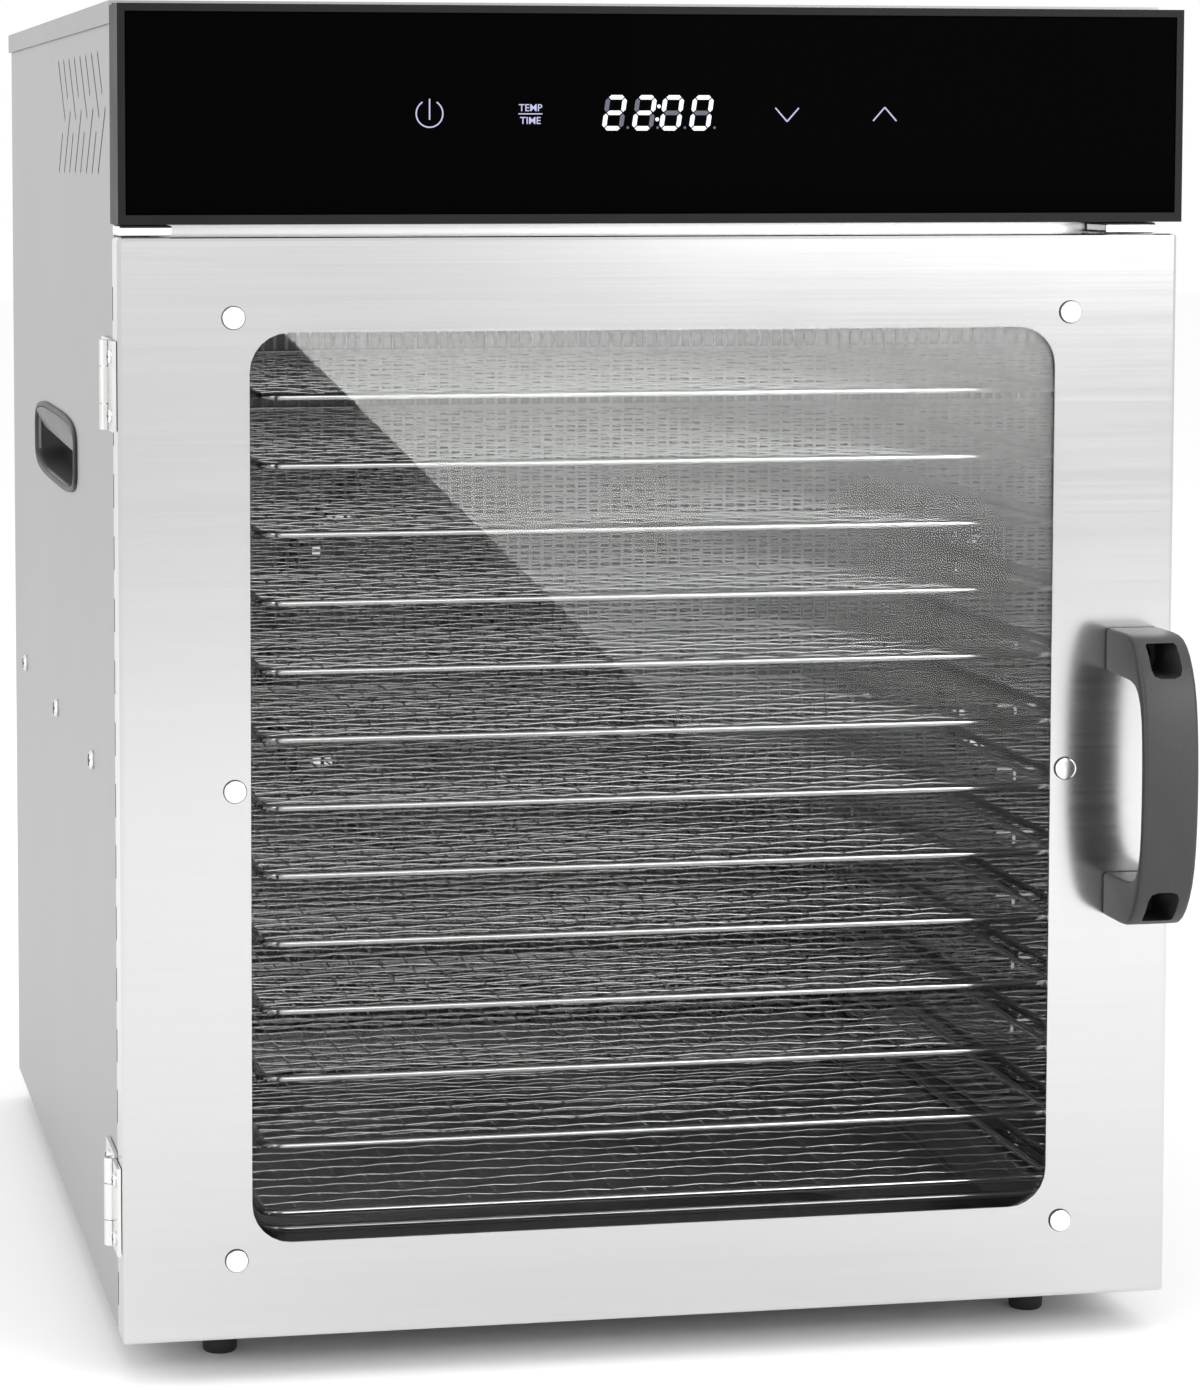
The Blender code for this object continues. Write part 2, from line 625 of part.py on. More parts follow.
def door_handle():
    span = (HANDLE_X - HANDLE_WIDTH / 2, HANDLE_X + HANDLE_WIDTH / 2)
    grip = prism("door_handle", handle_shape(), "X", span, (HANDLE_X, y_at(0), HANDLE_Z), BLACK)
    soften(grip, 0.0018, 2)
    wells = []
    for side in (-1, 1):
        z = HANDLE_Z + side * (HANDLE_LENGTH / 2 - 0.0095)
        wells.append(((HANDLE_X - 0.0068, HANDLE_X + 0.0068), (-HANDLE_PROUD - 0.002, -0.0090),
                      (z - 0.0056, z + 0.0056)))
    combine(grip, box_set("cut_wells", wells, (0, 0, 0)))
    return grip


def handle_screws():
    for tag, side in (("lower", -1), ("upper", 1)):
        z = HANDLE_Z + side * (HANDLE_LENGTH / 2 - 0.0095)
        rows = [(0, GAP), (0.0040, GAP), (0.0040, 0.0018), (0.0026, 0.0029), (0, 0.0031)]
        turned("handle_screw_" + tag, rows, "-Y", (HANDLE_X, y_at(-0.0090), z), BRIGHT, 20)


# ---------------------------------------------------------------- hinges and catch
def hinge(tag, z0):
    z1 = z0 + HINGE_LENGTH
    split = (z0 + 0.0105, z1 - 0.0105)
    bore = PIN_RADIUS + PIN_CLEARANCE
    leaf_x = (-SIDE_OUT - GAP - 0.0015, -SIDE_OUT - GAP)
    fixed = box("hinge_body_leaf_" + tag, leaf_x, (CASE_FRONT + 0.0022, 0.0600), (z0, z1), BRIGHT)
    for end, low, high in (("a", z0, split[0] - 0.0002), ("b", split[1] + 0.0002, z1)):
        arm = box("add_arm_%s_%s" % (tag, end), leaf_x, (HINGE_D, CASE_FRONT + 0.004),
                  (low, high), None, cutters)
        knuckle = turned("add_knuckle_%s_%s" % (tag, end),
                         [(0, low), (HINGE_RADIUS, low), (HINGE_RADIUS, high), (0, high)], "Z",
                         (HINGE_X, y_at(HINGE_D), 0.0), None, 24, cutters)
        combine(fixed, arm, "UNION")
        combine(fixed, knuckle, "UNION")
    combine(fixed, turned("cut_bore_fixed_" + tag,
                          [(0, z0 - 0.005), (bore, z0 - 0.005), (bore, z1 + 0.005), (0, z1 + 0.005)],
                          "Z", (HINGE_X, y_at(HINGE_D), 0.0), None, 24, cutters))
    door_x = (-WIDTH / 2 - GAP - 0.0015, -WIDTH / 2 - GAP)
    leaf = box("hinge_door_leaf_" + tag, door_x, (0.0030, HINGE_D - HINGE_RADIUS - 0.0003),
               (z0, z1), BRIGHT)
    low, high = split[0] + 0.0002, split[1] - 0.0002
    arm = box("add_door_arm_" + tag, door_x, (0.015, HINGE_D), (low, high), None, cutters)
    knuckle = turned("add_door_knuckle_" + tag,
                     [(0, low), (HINGE_RADIUS, low), (HINGE_RADIUS, high), (0, high)], "Z",
                     (HINGE_X, y_at(HINGE_D), 0.0), None, 24, cutters)
    combine(leaf, arm, "UNION")
    combine(leaf, knuckle, "UNION")
    combine(leaf, turned("cut_bore_door_" + tag,
                         [(0, z0 - 0.005), (bore, z0 - 0.005), (bore, z1 + 0.005), (0, z1 + 0.005)],
                         "Z", (HINGE_X, y_at(HINGE_D), 0.0), None, 24, cutters))
    turned("hinge_pin_" + tag, [(0, z0 + 0.0003), (PIN_RADIUS, z0 + 0.0003),
                                (PIN_RADIUS, z1 - 0.0003), (0, z1 - 0.0003)],
           "Z", (HINGE_X, y_at(HINGE_D), 0.0), BRIGHT, 24)


def magnet_catch():
    x1 = WIDTH / 2 - DOOR_LIP + 0.0110 - 0.0145
    block = box("magnet_catch", (x1 - 0.0095, x1 - 0.0005), (DOOR_THICK + 0.0006, FRAME_FRONT - GAP),
                (HANDLE_Z - 0.020, HANDLE_Z + 0.020), BLACK)
    soften(block, 0.0008, 1)
    return block


# ---------------------------------------------------------------- trays
def tray_mesh():
    outline = rounded(TRAY_LEFT, TRAY_RIGHT, y_at(TRAY_FRONT), y_at(TRAY_BACK), 0.0100, 3)
    tray = prism("tray_01", outline, "Z", (-TRAY_WIRE / 2, TRAY_WIRE / 2), (0, y_at(0.23), 0), WIRE)
    cells = []
    cols, rows = 4, 4
    step_x = (TRAY_WIDTH - 2 * TRAY_WIRE) / cols
    step_d = (TRAY_DEPTH - 2 * TRAY_WIRE) / rows
    for i in range(cols):
        for k in range(rows):
            x0 = TRAY_LEFT + TRAY_WIRE + step_x * i
            d0 = TRAY_FRONT + TRAY_WIRE + step_d * k
            grow = 0.0012
            cells.append(((x0 + grow, x0 + step_x - grow), (d0 + grow, d0 + step_d - grow),
                          (-0.01, 0.01)))
    tool = box_set("cut_cells", cells, (0, 0, 0))
    combine(tray, tool)
    graph = bpy.context.evaluated_depsgraph_get()
    mesh = bpy.data.meshes.new_from_object(tray.evaluated_get(graph))
    bpy.data.objects.remove(tray, do_unlink=True)
    return mesh


def trays():
    mesh = tray_mesh()
    for i in range(TRAY_COUNT):
        z = TRAY_LOW + TRAY_PITCH * (TRAY_COUNT - 1 - i)
        obj = bpy.data.objects.new("tray_%02d" % (i + 1), mesh)
        obj.location = (0, y_at(0.23), z)
        parts.objects.link(obj)


def drip_tray():
    low, top = CAVITY_LOW + GAP * 2, TRAY_LOW - 0.0049
    outline = rounded(TRAY_LEFT, TRAY_RIGHT, y_at(TRAY_FRONT), y_at(TRAY_BACK), 0.0120, 4)
    pan = prism("drip_tray", outline, "Z", (low, top), (0, y_at(0.23), low), BRIGHT)
    wall = 0.0010
    hollow = rounded(TRAY_LEFT + wall, TRAY_RIGHT - wall, y_at(TRAY_FRONT) + wall,
                     y_at(TRAY_BACK) - wall, 0.0110, 4)
    combine(pan, prism("cut_pan", hollow, "Z", (low + wall, top + 0.01), (0, 0, 0), None, cutters))
    return pan


# ---------------------------------------------------------------- assemble
for tag, side in (("left", -1), ("right", 1)):
    side_panel(tag, side)
    side_handle(tag, side)
    liner_side(tag, side)
top_cover()
base_pan()
rear_cover()
power_inlet()
front_frame()
feet()
liner_level("liner_top", CAVITY_TOP)
liner_level("liner_bottom", CAVITY_LOW - SHEET)
rear_baffle()
fan_motor()
fan_impeller()
heater_ring()
control_bezel()
control_glass()
display_module()
fascia_bracket("left", -WIDTH / 2 + 0.0008, -WIDTH / 2 + 0.0220)
fascia_bracket("right", WIDTH / 2 - 0.0310, WIDTH / 2 - 0.0090)
door_panel()
door_glass()
glass_retainer()
cap_screws()
door_handle()
handle_screws()
hinge("lower", HINGE_HEIGHTS[0])
hinge("upper", HINGE_HEIGHTS[1])
magnet_catch()
trays()
drip_tray()
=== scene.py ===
import json
import math
import random

import bmesh
import bpy
from mathutils import Matrix, Vector

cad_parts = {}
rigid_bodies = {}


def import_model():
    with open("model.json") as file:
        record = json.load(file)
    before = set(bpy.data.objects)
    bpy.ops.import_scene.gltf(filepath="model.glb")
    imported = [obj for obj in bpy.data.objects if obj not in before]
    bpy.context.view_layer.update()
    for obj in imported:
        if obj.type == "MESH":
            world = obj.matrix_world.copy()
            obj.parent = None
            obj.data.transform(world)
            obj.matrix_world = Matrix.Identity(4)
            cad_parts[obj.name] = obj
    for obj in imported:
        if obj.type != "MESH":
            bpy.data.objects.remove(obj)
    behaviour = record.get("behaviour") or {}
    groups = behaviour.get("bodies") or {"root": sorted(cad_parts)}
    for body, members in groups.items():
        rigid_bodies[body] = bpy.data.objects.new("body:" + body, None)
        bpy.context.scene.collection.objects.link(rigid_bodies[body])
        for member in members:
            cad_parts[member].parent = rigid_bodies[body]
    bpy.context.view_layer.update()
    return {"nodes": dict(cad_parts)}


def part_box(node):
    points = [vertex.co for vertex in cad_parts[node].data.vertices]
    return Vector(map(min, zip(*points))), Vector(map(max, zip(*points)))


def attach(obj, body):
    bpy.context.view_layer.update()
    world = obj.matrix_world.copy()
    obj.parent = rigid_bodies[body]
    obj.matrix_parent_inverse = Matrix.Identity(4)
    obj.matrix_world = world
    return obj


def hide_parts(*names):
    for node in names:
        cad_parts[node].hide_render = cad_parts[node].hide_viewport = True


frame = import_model()
MM = 0.001

# ---------------------------------------------------------------- steel case
# Thin stainless sheet, brushed lengthways at the mill and then folded.  The sides, the lid
# that overlaps them, the base pan, the rear cover and the front frame are all this sheet.


class Value:
    """A shader socket that can be used in ordinary arithmetic."""

    def __init__(self, tree, socket):
        self.tree = tree
        self.socket = socket

    def math(self, operation, first, second):
        node = self.tree.nodes.new("ShaderNodeMath")
        node.operation = operation
        for slot, item in zip(node.inputs, (first, second)):
            if isinstance(item, Value):
                self.tree.links.new(item.socket, slot)
            else:
                slot.default_value = item
        return Value(self.tree, node.outputs[0])

    def __add__(self, other):
        return self.math("ADD", self, other)

    def __radd__(self, other):
        return self.math("ADD", other, self)

    def __sub__(self, other):
        return self.math("SUBTRACT", self, other)

    def __rsub__(self, other):
        return self.math("SUBTRACT", other, self)

    def __mul__(self, other):
        return self.math("MULTIPLY", self, other)

    def __rmul__(self, other):
        return self.math("MULTIPLY", other, self)

    def __pow__(self, other):
        return self.math("POWER", self, other)


class Finish:
    """One material: a Principled surface and a short way to add the nodes behind it."""

    def __init__(self, name, colour, roughness, metallic=0.0, **fixed):
        self.material = bpy.data.materials.new(name)
        self.material.use_nodes = True
        self.tree = self.material.node_tree
        self.surface = self.tree.nodes["Principled BSDF"]
        self.set("Base Color", (*colour, 1.0))
        self.set("Roughness", roughness)
        self.set("Metallic", metallic)
        for socket, value in fixed.items():
            self.set(socket.replace("_", " "), value)

    def set(self, socket, value):
        target = self.surface.inputs[socket]
        if isinstance(value, Value):
            self.tree.links.new(value.socket, target)
        else:
            target.default_value = value

    def node(self, kind, settings, sockets, output=0):
        """Adds a node: its settings first, then a value or a link for each named socket."""
        node = self.tree.nodes.new("ShaderNode" + kind)
        for key, item in settings.items():
            if key == "stops":
                ramp = node.color_ramp.elements
                for place, shade in item[2:]:
                    ramp.new(place)
                for element, (place, shade) in zip(ramp, item):
                    element.position = place
                    element.color = (shade, shade, shade, 1.0)
            else:
                setattr(node, key, item)
        for key, item in sockets.items():
            if isinstance(item, Value):
                self.tree.links.new(item.socket, node.inputs[key])
            else:
                node.inputs[key].default_value = item
        return Value(self.tree, node.outputs[output])

    def place(self, scale):
        """Points on the piece, in metres, stretched by a scale along X, Y and Z."""
        at = self.node("TexCoord", {}, {}, "Object")
        return self.node("VectorMath", {"operation": "MULTIPLY"}, {0: at, 1: scale})

    def noise(self, scale, detail=2.0, rough=0.5):
        return self.node("TexNoise", {}, {"Vector": self.place(scale), "Scale": 1.0,
                                          "Detail": detail, "Roughness": rough})

    def shade(self, mask, dark, light):
        return self.node("Mix", {"data_type": "RGBA"},
                         {0: mask, 6: (*dark, 1.0), 7: (*light, 1.0)}, 2)

    def ramp(self, value, *stops):
        return self.node("ValToRGB", {"stops": stops}, {0: value})

    def bump(self, height, strength, distance):
        return self.node("Bump", {}, {"Height": height, "Strength": strength,
                                      "Distance": distance})


def brushed(name, light, grain, rough, sheen=0.06, depth=0.10):
    """Brushed sheet: fine streaks along one axis, cloudier wear over the whole panel."""
    steel = Finish(name, light, rough, 1.0)
    fine = steel.noise([9.0 if axis == grain else 1500.0 for axis in "XYZ"], 3.0, 0.6)
    broad = steel.noise([2.5 if axis == grain else 210.0 for axis in "XYZ"], 2.0)
    cloud = steel.noise((7.0, 7.0, 7.0), 3.0)
    streak = fine * 0.65 + broad * 0.35
    dark = [channel * (1.0 - sheen) for channel in light]
    steel.set("Base Color", steel.shade(steel.ramp(streak, (0.30, 0.0), (0.72, 1.0)), dark, light))
    steel.set("Roughness", streak * 0.12 + cloud * 0.08 + (rough - 0.10))
    steel.set("Normal", steel.bump(streak, depth, 0.00006))
    return steel.material


def dress(material, *nodes):
    """Gives the named CAD pieces their finish."""
    for name in nodes:
        slots = frame["nodes"][name].material_slots
        for slot in slots:
            slot.material = material


# One sheet in two greys: darker on the sides, lid, base pan and rear cover as painted shade, near
# white on the front frame and brackets as painted light.
SHADED_SIDE_STEEL = brushed("side_sheet_painted_shade", (0.40, 0.40, 0.40), "Y", 0.42)
SHADED_LID_STEEL = brushed("lid_sheet_painted_shade", (0.38, 0.38, 0.38), "Y", 0.44)
LIT_FRAME_STEEL = brushed("frame_sheet_painted_light", (0.95, 0.95, 0.95), "X", 0.26)
dress(SHADED_SIDE_STEEL, "side_panel_left", "side_panel_right", "base_pan", "rear_cover")
dress(SHADED_LID_STEEL, "top_cover")
dress(LIT_FRAME_STEEL, "front_frame", "fascia_bracket_left", "fascia_bracket_right")

# ---------------------------------------------------------------- side fixing screws
# Three pan-head screws in a falling line on each side hold the liner brackets.  Bright
# plated steel, with a cross recess pressed into each head, its shade painted as a dark cross.


def mesh_piece(name, bm, material, body, smooth=True):
    """Turns a bmesh into a named piece that rides on a body."""
    bmesh.ops.recalc_face_normals(bm, faces=bm.faces)
    mesh = bpy.data.meshes.new(name)
    bm.to_mesh(mesh)
    bm.free()
    mesh.materials.append(material)
    for face in mesh.polygons:
        face.use_smooth = smooth
    piece = bpy.data.objects.new(name, mesh)
    bpy.context.scene.collection.objects.link(piece)
    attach(piece, body)
    return piece


def lathe(bm, profile, place, steps=32):
    """Adds a turned solid.  Profile rows are (radius, height); place carries it to its seat."""
    rings = []
    for radius, height in profile:
        if radius == 0.0:
            rings.append([bm.verts.new(place @ Vector((0.0, 0.0, height)))])
            continue
        ring = []
        for i in range(steps):
            turn = 2 * math.pi * i / steps
            point = Vector((radius * math.cos(turn), radius * math.sin(turn), height))
            ring.append(bm.verts.new(place @ point))
        rings.append(ring)
    for low, high in zip(rings[:-1], rings[1:]):
        for i in range(steps):
            j = (i + 1) % steps
            if len(low) == 1:
                bm.faces.new((low[0], high[j], high[i]))
            elif len(high) == 1:
                bm.faces.new((low[i], low[j], high[0]))
            else:
                bm.faces.new((low[i], low[j], high[j], high[i]))


def block(bm, low, high):
    """Adds a box between two corners."""
    centre = (Vector(low) + Vector(high)) / 2
    size = Vector(high) - Vector(low)
    bmesh.ops.create_cube(bm, size=1.0,
                          matrix=Matrix.Translation(centre) @ Matrix.Diagonal((*size, 1.0)))


def plated(name, light, rough):
    """Bright plated steel with faint polishing marks and a little dulling."""
    steel = Finish(name, light, rough, 1.0)
    marks = steel.noise((700.0, 700.0, 700.0), 3.0)
    dull = steel.noise((60.0, 60.0, 60.0), 2.0)
    dark = [channel * 0.86 for channel in light]
    steel.set("Base Color", steel.shade(dull, dark, light))
    steel.set("Roughness", marks * 0.10 + dull * 0.10 + (rough - 0.08))
    steel.set("Normal", steel.bump(marks, 0.06, 0.00003))
    return steel.material


SCREW_STEEL = plated("screw_plate", (0.80, 0.80, 0.79), 0.20)
# Flat near-black standing for the shade in recesses and gaps: painted shade, used for the screw
# crosses, under the window caps and in the door edge slots.
PAINTED_SHADE = Finish("recess_shadow", (0.05, 0.05, 0.05), 0.6, 0.6).material
side_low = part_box("side_panel_left")[0]
door_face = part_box("door_panel")[0][1]
SCREW_SPOTS = ((0.122, 0.2372), (0.285, 0.2377), (0.454, 0.2381))
PAN_HEAD = [(0.0, 0.0), (4.1 * MM, 0.0), (4.1 * MM, 0.7 * MM), (3.7 * MM, 1.4 * MM),
            (2.6 * MM, 1.85 * MM), (0.0, 2.0 * MM)]


def cross_screw(name, place, body, scale=1.0):
    """Pan-head screw with a cross recess, its shade painted as two dark bars sunk into the head."""
    bm = bmesh.new()
    lathe(bm, [(r * scale, h * scale) for r, h in PAN_HEAD], place, 28)
    head = mesh_piece(name, bm, SCREW_STEEL, body)
    # The cross is a near-black plate, not a cut: painted shade of the recess.
    bm = bmesh.new()
    arm, half, top = 2.5 * MM * scale, 0.6 * MM * scale, 2.12 * MM * scale
    points = []
    for quarter in range(4):
        turn = Matrix.Rotation(math.pi / 2 * quarter, 3, "Z")
        for x, y in ((arm, -half), (arm, half), (half, half)):
            points.append(turn @ Vector((x, y, 0.0)))
    lower = [bm.verts.new(place @ (p + Vector((0, 0, 1.6 * MM * scale)))) for p in points]
    upper = [bm.verts.new(place @ (p + Vector((0, 0, top)))) for p in points]
    bm.faces.new(lower)
    bm.faces.new(upper)
    for i in range(12):
        j = (i + 1) % 12
        bm.faces.new((lower[i], lower[j], upper[j], upper[i]))
    recess = mesh_piece(name + "_recess", bm, PAINTED_SHADE, body, False)


for side in (-1, 1):
    outward = Matrix.Rotation(side * math.pi / 2, 4, "Y")
    for number, (depth, height) in enumerate(SCREW_SPOTS):
        seat = Matrix.Translation((side * -side_low[0], door_face + depth, height))
        tag = "left" if side < 0 else "right"
        cross_screw("side_screw_%s_%d" % (tag, number + 1), seat @ outward, "cabinet")

# ---------------------------------------------------------------- side carrying grips
# One-piece black nylon grip in each side: a thin rim outside the sheet, a steep face under
# the top edge and a deep finger pocket below it.  The steep face is a lighter grey: painted light.


def moulded(name, dark, light, rough, grain=2600.0, depth=0.25, gloss=0.45):
    """Spark-eroded plastic: a fine even grain with faint polish where hands rub."""
    plastic = Finish(name, light, rough, 0.0, Specular_IOR_Level=gloss)
    grit = plastic.noise((grain, grain, grain), 2.0)
    rub = plastic.noise((24.0, 24.0, 24.0), 3.0)
    plastic.set("Base Color", plastic.shade(rub * 0.6 + grit * 0.4, dark, light))
    plastic.set("Roughness", rub * 0.16 + grit * 0.10 + (rough - 0.13))
    plastic.set("Normal", plastic.bump(grit, depth, 0.00012))
    return plastic.material


BLACK_NYLON = moulded("black_nylon", (0.012, 0.012, 0.013), (0.030, 0.030, 0.032), 0.46)
POCKET_STEPS = ((0.0, -0.0003), (0.0, 0.0009), (0.0005, 0.0014), (0.0017, 0.0015),
                (0.0023, 0.0010), (0.0027, -0.0020), (0.0034, -0.0120), (0.0060, -0.0172))


def bowed_ring(centre, half_long, half_high, inset, count=52):
    """Outline of the grip: flat top and bottom, ends that swell outwards."""
    ring = []
    for i in range(count):
        turn = 2 * math.pi * (i + 0.5) / count
        c, s = math.cos(turn), math.sin(turn)
        along = math.copysign(abs(c) ** 0.55, c) * (half_long - inset)
        high = math.copysign(abs(s) ** 0.42, s) * (half_high - inset)
        ring.append((centre[0] + along, centre[1] + high))
    return ring


def skin(bm, rings):
    """Joins rings of points into a surface and closes the last ring."""
    rows = [[bm.verts.new(point) for point in ring] for ring in rings]
    for a, b in zip(rows[:-1], rows[1:]):
        for i in range(len(a)):
            j = (i + 1) % len(a)
            bm.faces.new((a[i], a[j], b[j], b[i]))
    bm.faces.new(rows[-1])


# Lighter grey than the black nylon: painted light on the steep face under the grip's top edge.
PAINTED_LIT_NYLON = moulded("lip_painted_light", (0.050, 0.050, 0.051), (0.090, 0.090, 0.092), 0.40)
LIP_STEPS = ((0.0, 0.6), (0.35, -0.6), (0.92, -3.4), (1.0, -4.6))
for tag, side in (("left", -1), ("right", 1)):
    low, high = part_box("side_handle_" + tag)
    face = low[0] + 0.0015 if side < 0 else high[0] - 0.0015
    middle = ((low[1] + high[1]) / 2, (low[2] + high[2]) / 2)
    half = ((high[1] - low[1]) / 2, (high[2] - low[2]) / 2)
    bm = bmesh.new()
    skin(bm, [[(face + side * out, y, z) for y, z in bowed_ring(middle, *half, inset)]
              for inset, out in POCKET_STEPS])
    grip = mesh_piece("side_grip_" + tag, bm, BLACK_NYLON, "cabinet")
    thick = grip.modifiers.new("wall", "SOLIDIFY")
    thick.thickness = 1.2 * MM
    thick.offset = -1.0
    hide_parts("side_handle_" + tag)
    bm = bmesh.new()
    upper = [(y, z) for y, z in bowed_ring(middle, *half, 2.6 * MM)
             if z > middle[1] + 1.5 * MM and abs(y - middle[0]) < half[0] - 9 * MM]
    upper.sort()
    rows = []
    for share, out in LIP_STEPS:
        row = []
        for y, z in upper:
            slope = (y - middle[0]) / half[0] * 1.6 * MM
            level = z + (middle[1] + 1.0 * MM + slope - z) * share
            row.append(bm.verts.new((face + side * out * MM, y, level)))
        rows.append(row)
    for a, b in zip(rows[:-1], rows[1:]):
        for i in range(len(a) - 1):
            bm.faces.new((a[i], a[i + 1], b[i + 1], b[i]))
    lip = mesh_piece("grip_lip_" + tag, bm, PAINTED_LIT_NYLON, "cabinet")
    thick = lip.modifiers.new("wall", "SOLIDIFY")
    thick.thickness = 1.4 * MM
    thick.offset = 0.0

# ---------------------------------------------------------------- feet and cord gland
# Moulded rubber feet, waisted at half their height and screwed under the base pan.
# A black nylon gland in the rear cover takes the cord.

RUBBER = moulded("foot_rubber", (0.010, 0.010, 0.010), (0.028, 0.028, 0.028), 0.74, 1500.0)
for number in range(1, 5):
    name = "foot_%d" % number
    low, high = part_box(name)
    tall, wide = high[2] - low[2], (high[0] - low[0]) / 2
    profile = [(0.0, 0.0), (wide * 0.76, 0.0), (wide * 0.84, 0.8 * MM), (wide * 0.90, tall * 0.45),
               (wide * 0.86, tall * 0.52), (wide * 0.86, tall * 0.60), (wide * 0.94, tall * 0.66),
               (wide, tall - 0.8 * MM), (wide * 0.96, tall), (0.0, tall)]
    bm = bmesh.new()
    lathe(bm, profile, Matrix.Translation(((low[0] + high[0]) / 2, (low[1] + high[1]) / 2, low[2])))
    foot = mesh_piece("rubber_foot_%d" % number, bm, RUBBER, "cabinet")
    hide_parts(name)
dress(BLACK_NYLON, "power_inlet", "magnet_catch")

# ---------------------------------------------------------------- drying cavity
# Polished stainless liners with short ledges welded on for the trays, and a slatted baffle
# at the back that the fan blows through.  The polish mirrors the trays.

mirror = Finish("polished_liner", (0.78, 0.78, 0.78), 0.02, 1.0)
haze = mirror.noise((90.0, 90.0, 90.0), 2.0)
mirror.set("Base Color", mirror.shade(haze, (0.72, 0.72, 0.72), (0.80, 0.80, 0.80)))
mirror.set("Roughness", haze * 0.03 + 0.008)
POLISHED = mirror.material
# Near-black steel for the baffle and the cavity roof and floor, far darker than the liner walls:
# painted shade deep in the cavity.
SHADED_SLAT_STEEL = brushed("slat_sheet_painted_shade", (0.16, 0.16, 0.16), "Z", 0.26, 0.05, 0.04)
dress(SHADED_SLAT_STEEL, "liner_top", "liner_bottom")
levels = [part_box(name)[0] for name in sorted(frame["nodes"]) if name.startswith("tray_")]
TAB_LONG, TAB_WIDE, TAB_THICK = 30.0 * MM, 10.0 * MM, 1.0 * MM
TAB_FRONT, TAB_REAR, WALL_THICK = 70 * MM, 34 * MM, 1.2 * MM
for tag, side in (("left", -1), ("right", 1)):
    low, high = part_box("liner_" + tag)
    outer = low[0] if side < 0 else high[0]
    bm = bmesh.new()
    block(bm, (outer - side * WALL_THICK, low[1], low[2]), (outer, high[1], high[2]))
    for corner in levels:
        top = corner[2] - 0.35 * MM
        for start in (corner[1] + TAB_FRONT, high[1] - TAB_REAR - TAB_LONG):
            block(bm, (outer - side * TAB_WIDE, start, top - TAB_THICK),
                  (outer - side * 1.0 * MM, start + TAB_LONG, top))
            block(bm, (outer - side * 1.9 * MM, start + 2 * MM, top - 6 * MM),
                  (outer - side * 1.0 * MM, start + TAB_LONG - 2 * MM, top - 0.5 * MM))
    wall = mesh_piece("liner_wall_" + tag, bm, POLISHED, "cabinet", False)
    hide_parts("liner_" + tag)
low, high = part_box("rear_baffle")
SLAT_PITCH = 6.0 * MM
bm = bmesh.new()
rail = 14.0 * MM
block(bm, low, (high[0], high[1], low[2] + rail))
block(bm, (low[0], low[1], high[2] - rail), high)
count = int((high[0] - low[0]) / SLAT_PITCH)
margin = (high[0] - low[0] - count * SLAT_PITCH) / 2
for i in range(count):
    x = low[0] + margin + SLAT_PITCH * (i + 0.5)
    block(bm, (x - 0.9 * MM, low[1], low[2] + rail - 1 * MM),
          (x + 0.9 * MM, high[1] - 0.2 * MM, high[2] - rail + 1 * MM))
baffle = mesh_piece("slatted_baffle", bm, SHADED_SLAT_STEEL, "cabinet", False)
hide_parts("rear_baffle")

# ---------------------------------------------------------------- fan, motor and heater
# Pressed fan wheel on the motor shaft, in plain plated steel.  It stands behind a ring
# heater with a dull oxidised sheath.

MOTOR_STEEL = plated("motor_plate", (0.42, 0.42, 0.43), 0.36)
SHEATH = plated("heater_sheath", (0.20, 0.18, 0.17), 0.45)
dress(MOTOR_STEEL, "fan_motor", "fan_impeller")
dress(SHEATH, "heater_ring")

# ---------------------------------------------------------------- wire mesh trays
# Each tray is crimped bright wire, woven square and welded into a frame with a folded
# rim.  All thirteen are the same mesh.

TRAY_WIRE = plated("tray_wire", (0.78, 0.78, 0.78), 0.115)
CROSS_PITCH = 14.0 * MM
LENGTH_PITCH = 12.2 * MM
WIRE = 0.52 * MM
CRIMP = 0.30 * MM
HEM = ((0.5, -1.1), (0.0, -0.7), (0.0, 0.8), (0.4, 1.35), (1.2, 1.6), (2.7, 1.6), (3.2, 1.2),
       (3.2, -0.2), (1.0, -0.4), (1.0, -1.0))


def rod(bm, points, radius, sides=4):
    """Adds a rod that follows a list of points."""
    rings = []
    last = len(points) - 1
    for i, point in enumerate(points):
        before = points[i - 1] if i > 0 else point
        after = points[i + 1] if i < last else point
        along = (after - before).normalized()
        across = along.cross(Vector((0.0, 0.0, 1.0))).normalized()
        upward = across.cross(along).normalized()
        ring = []
        for k in range(sides):
            turn = 2 * math.pi * (k + 0.5) / sides
            offset = across * math.cos(turn) * radius + upward * math.sin(turn) * radius
            ring.append(bm.verts.new(point + offset))
        rings.append(ring)
    bm.faces.new(list(reversed(rings[0])))
    bm.faces.new(rings[-1])
    for a, b in zip(rings[:-1], rings[1:]):
        for k in range(sides):
            m = (k + 1) % sides
            bm.faces.new((a[k], a[m], b[m], b[k]))


def rounded_loop(x0, x1, y0, y1, radius, z, steps=5):
    """Points round a rectangle with rounded corners."""
    loop = []
    for cx, cy, start in ((x1 - radius, y1 - radius, 0), (x0 + radius, y1 - radius, 90),
                          (x0 + radius, y0 + radius, 180), (x1 - radius, y0 + radius, 270)):
        for i in range(steps + 1):
            turn = math.radians(start + 90 * i / steps)
            loop.append(Vector((cx + radius * math.cos(turn), cy + radius * math.sin(turn), z)))
    return loop


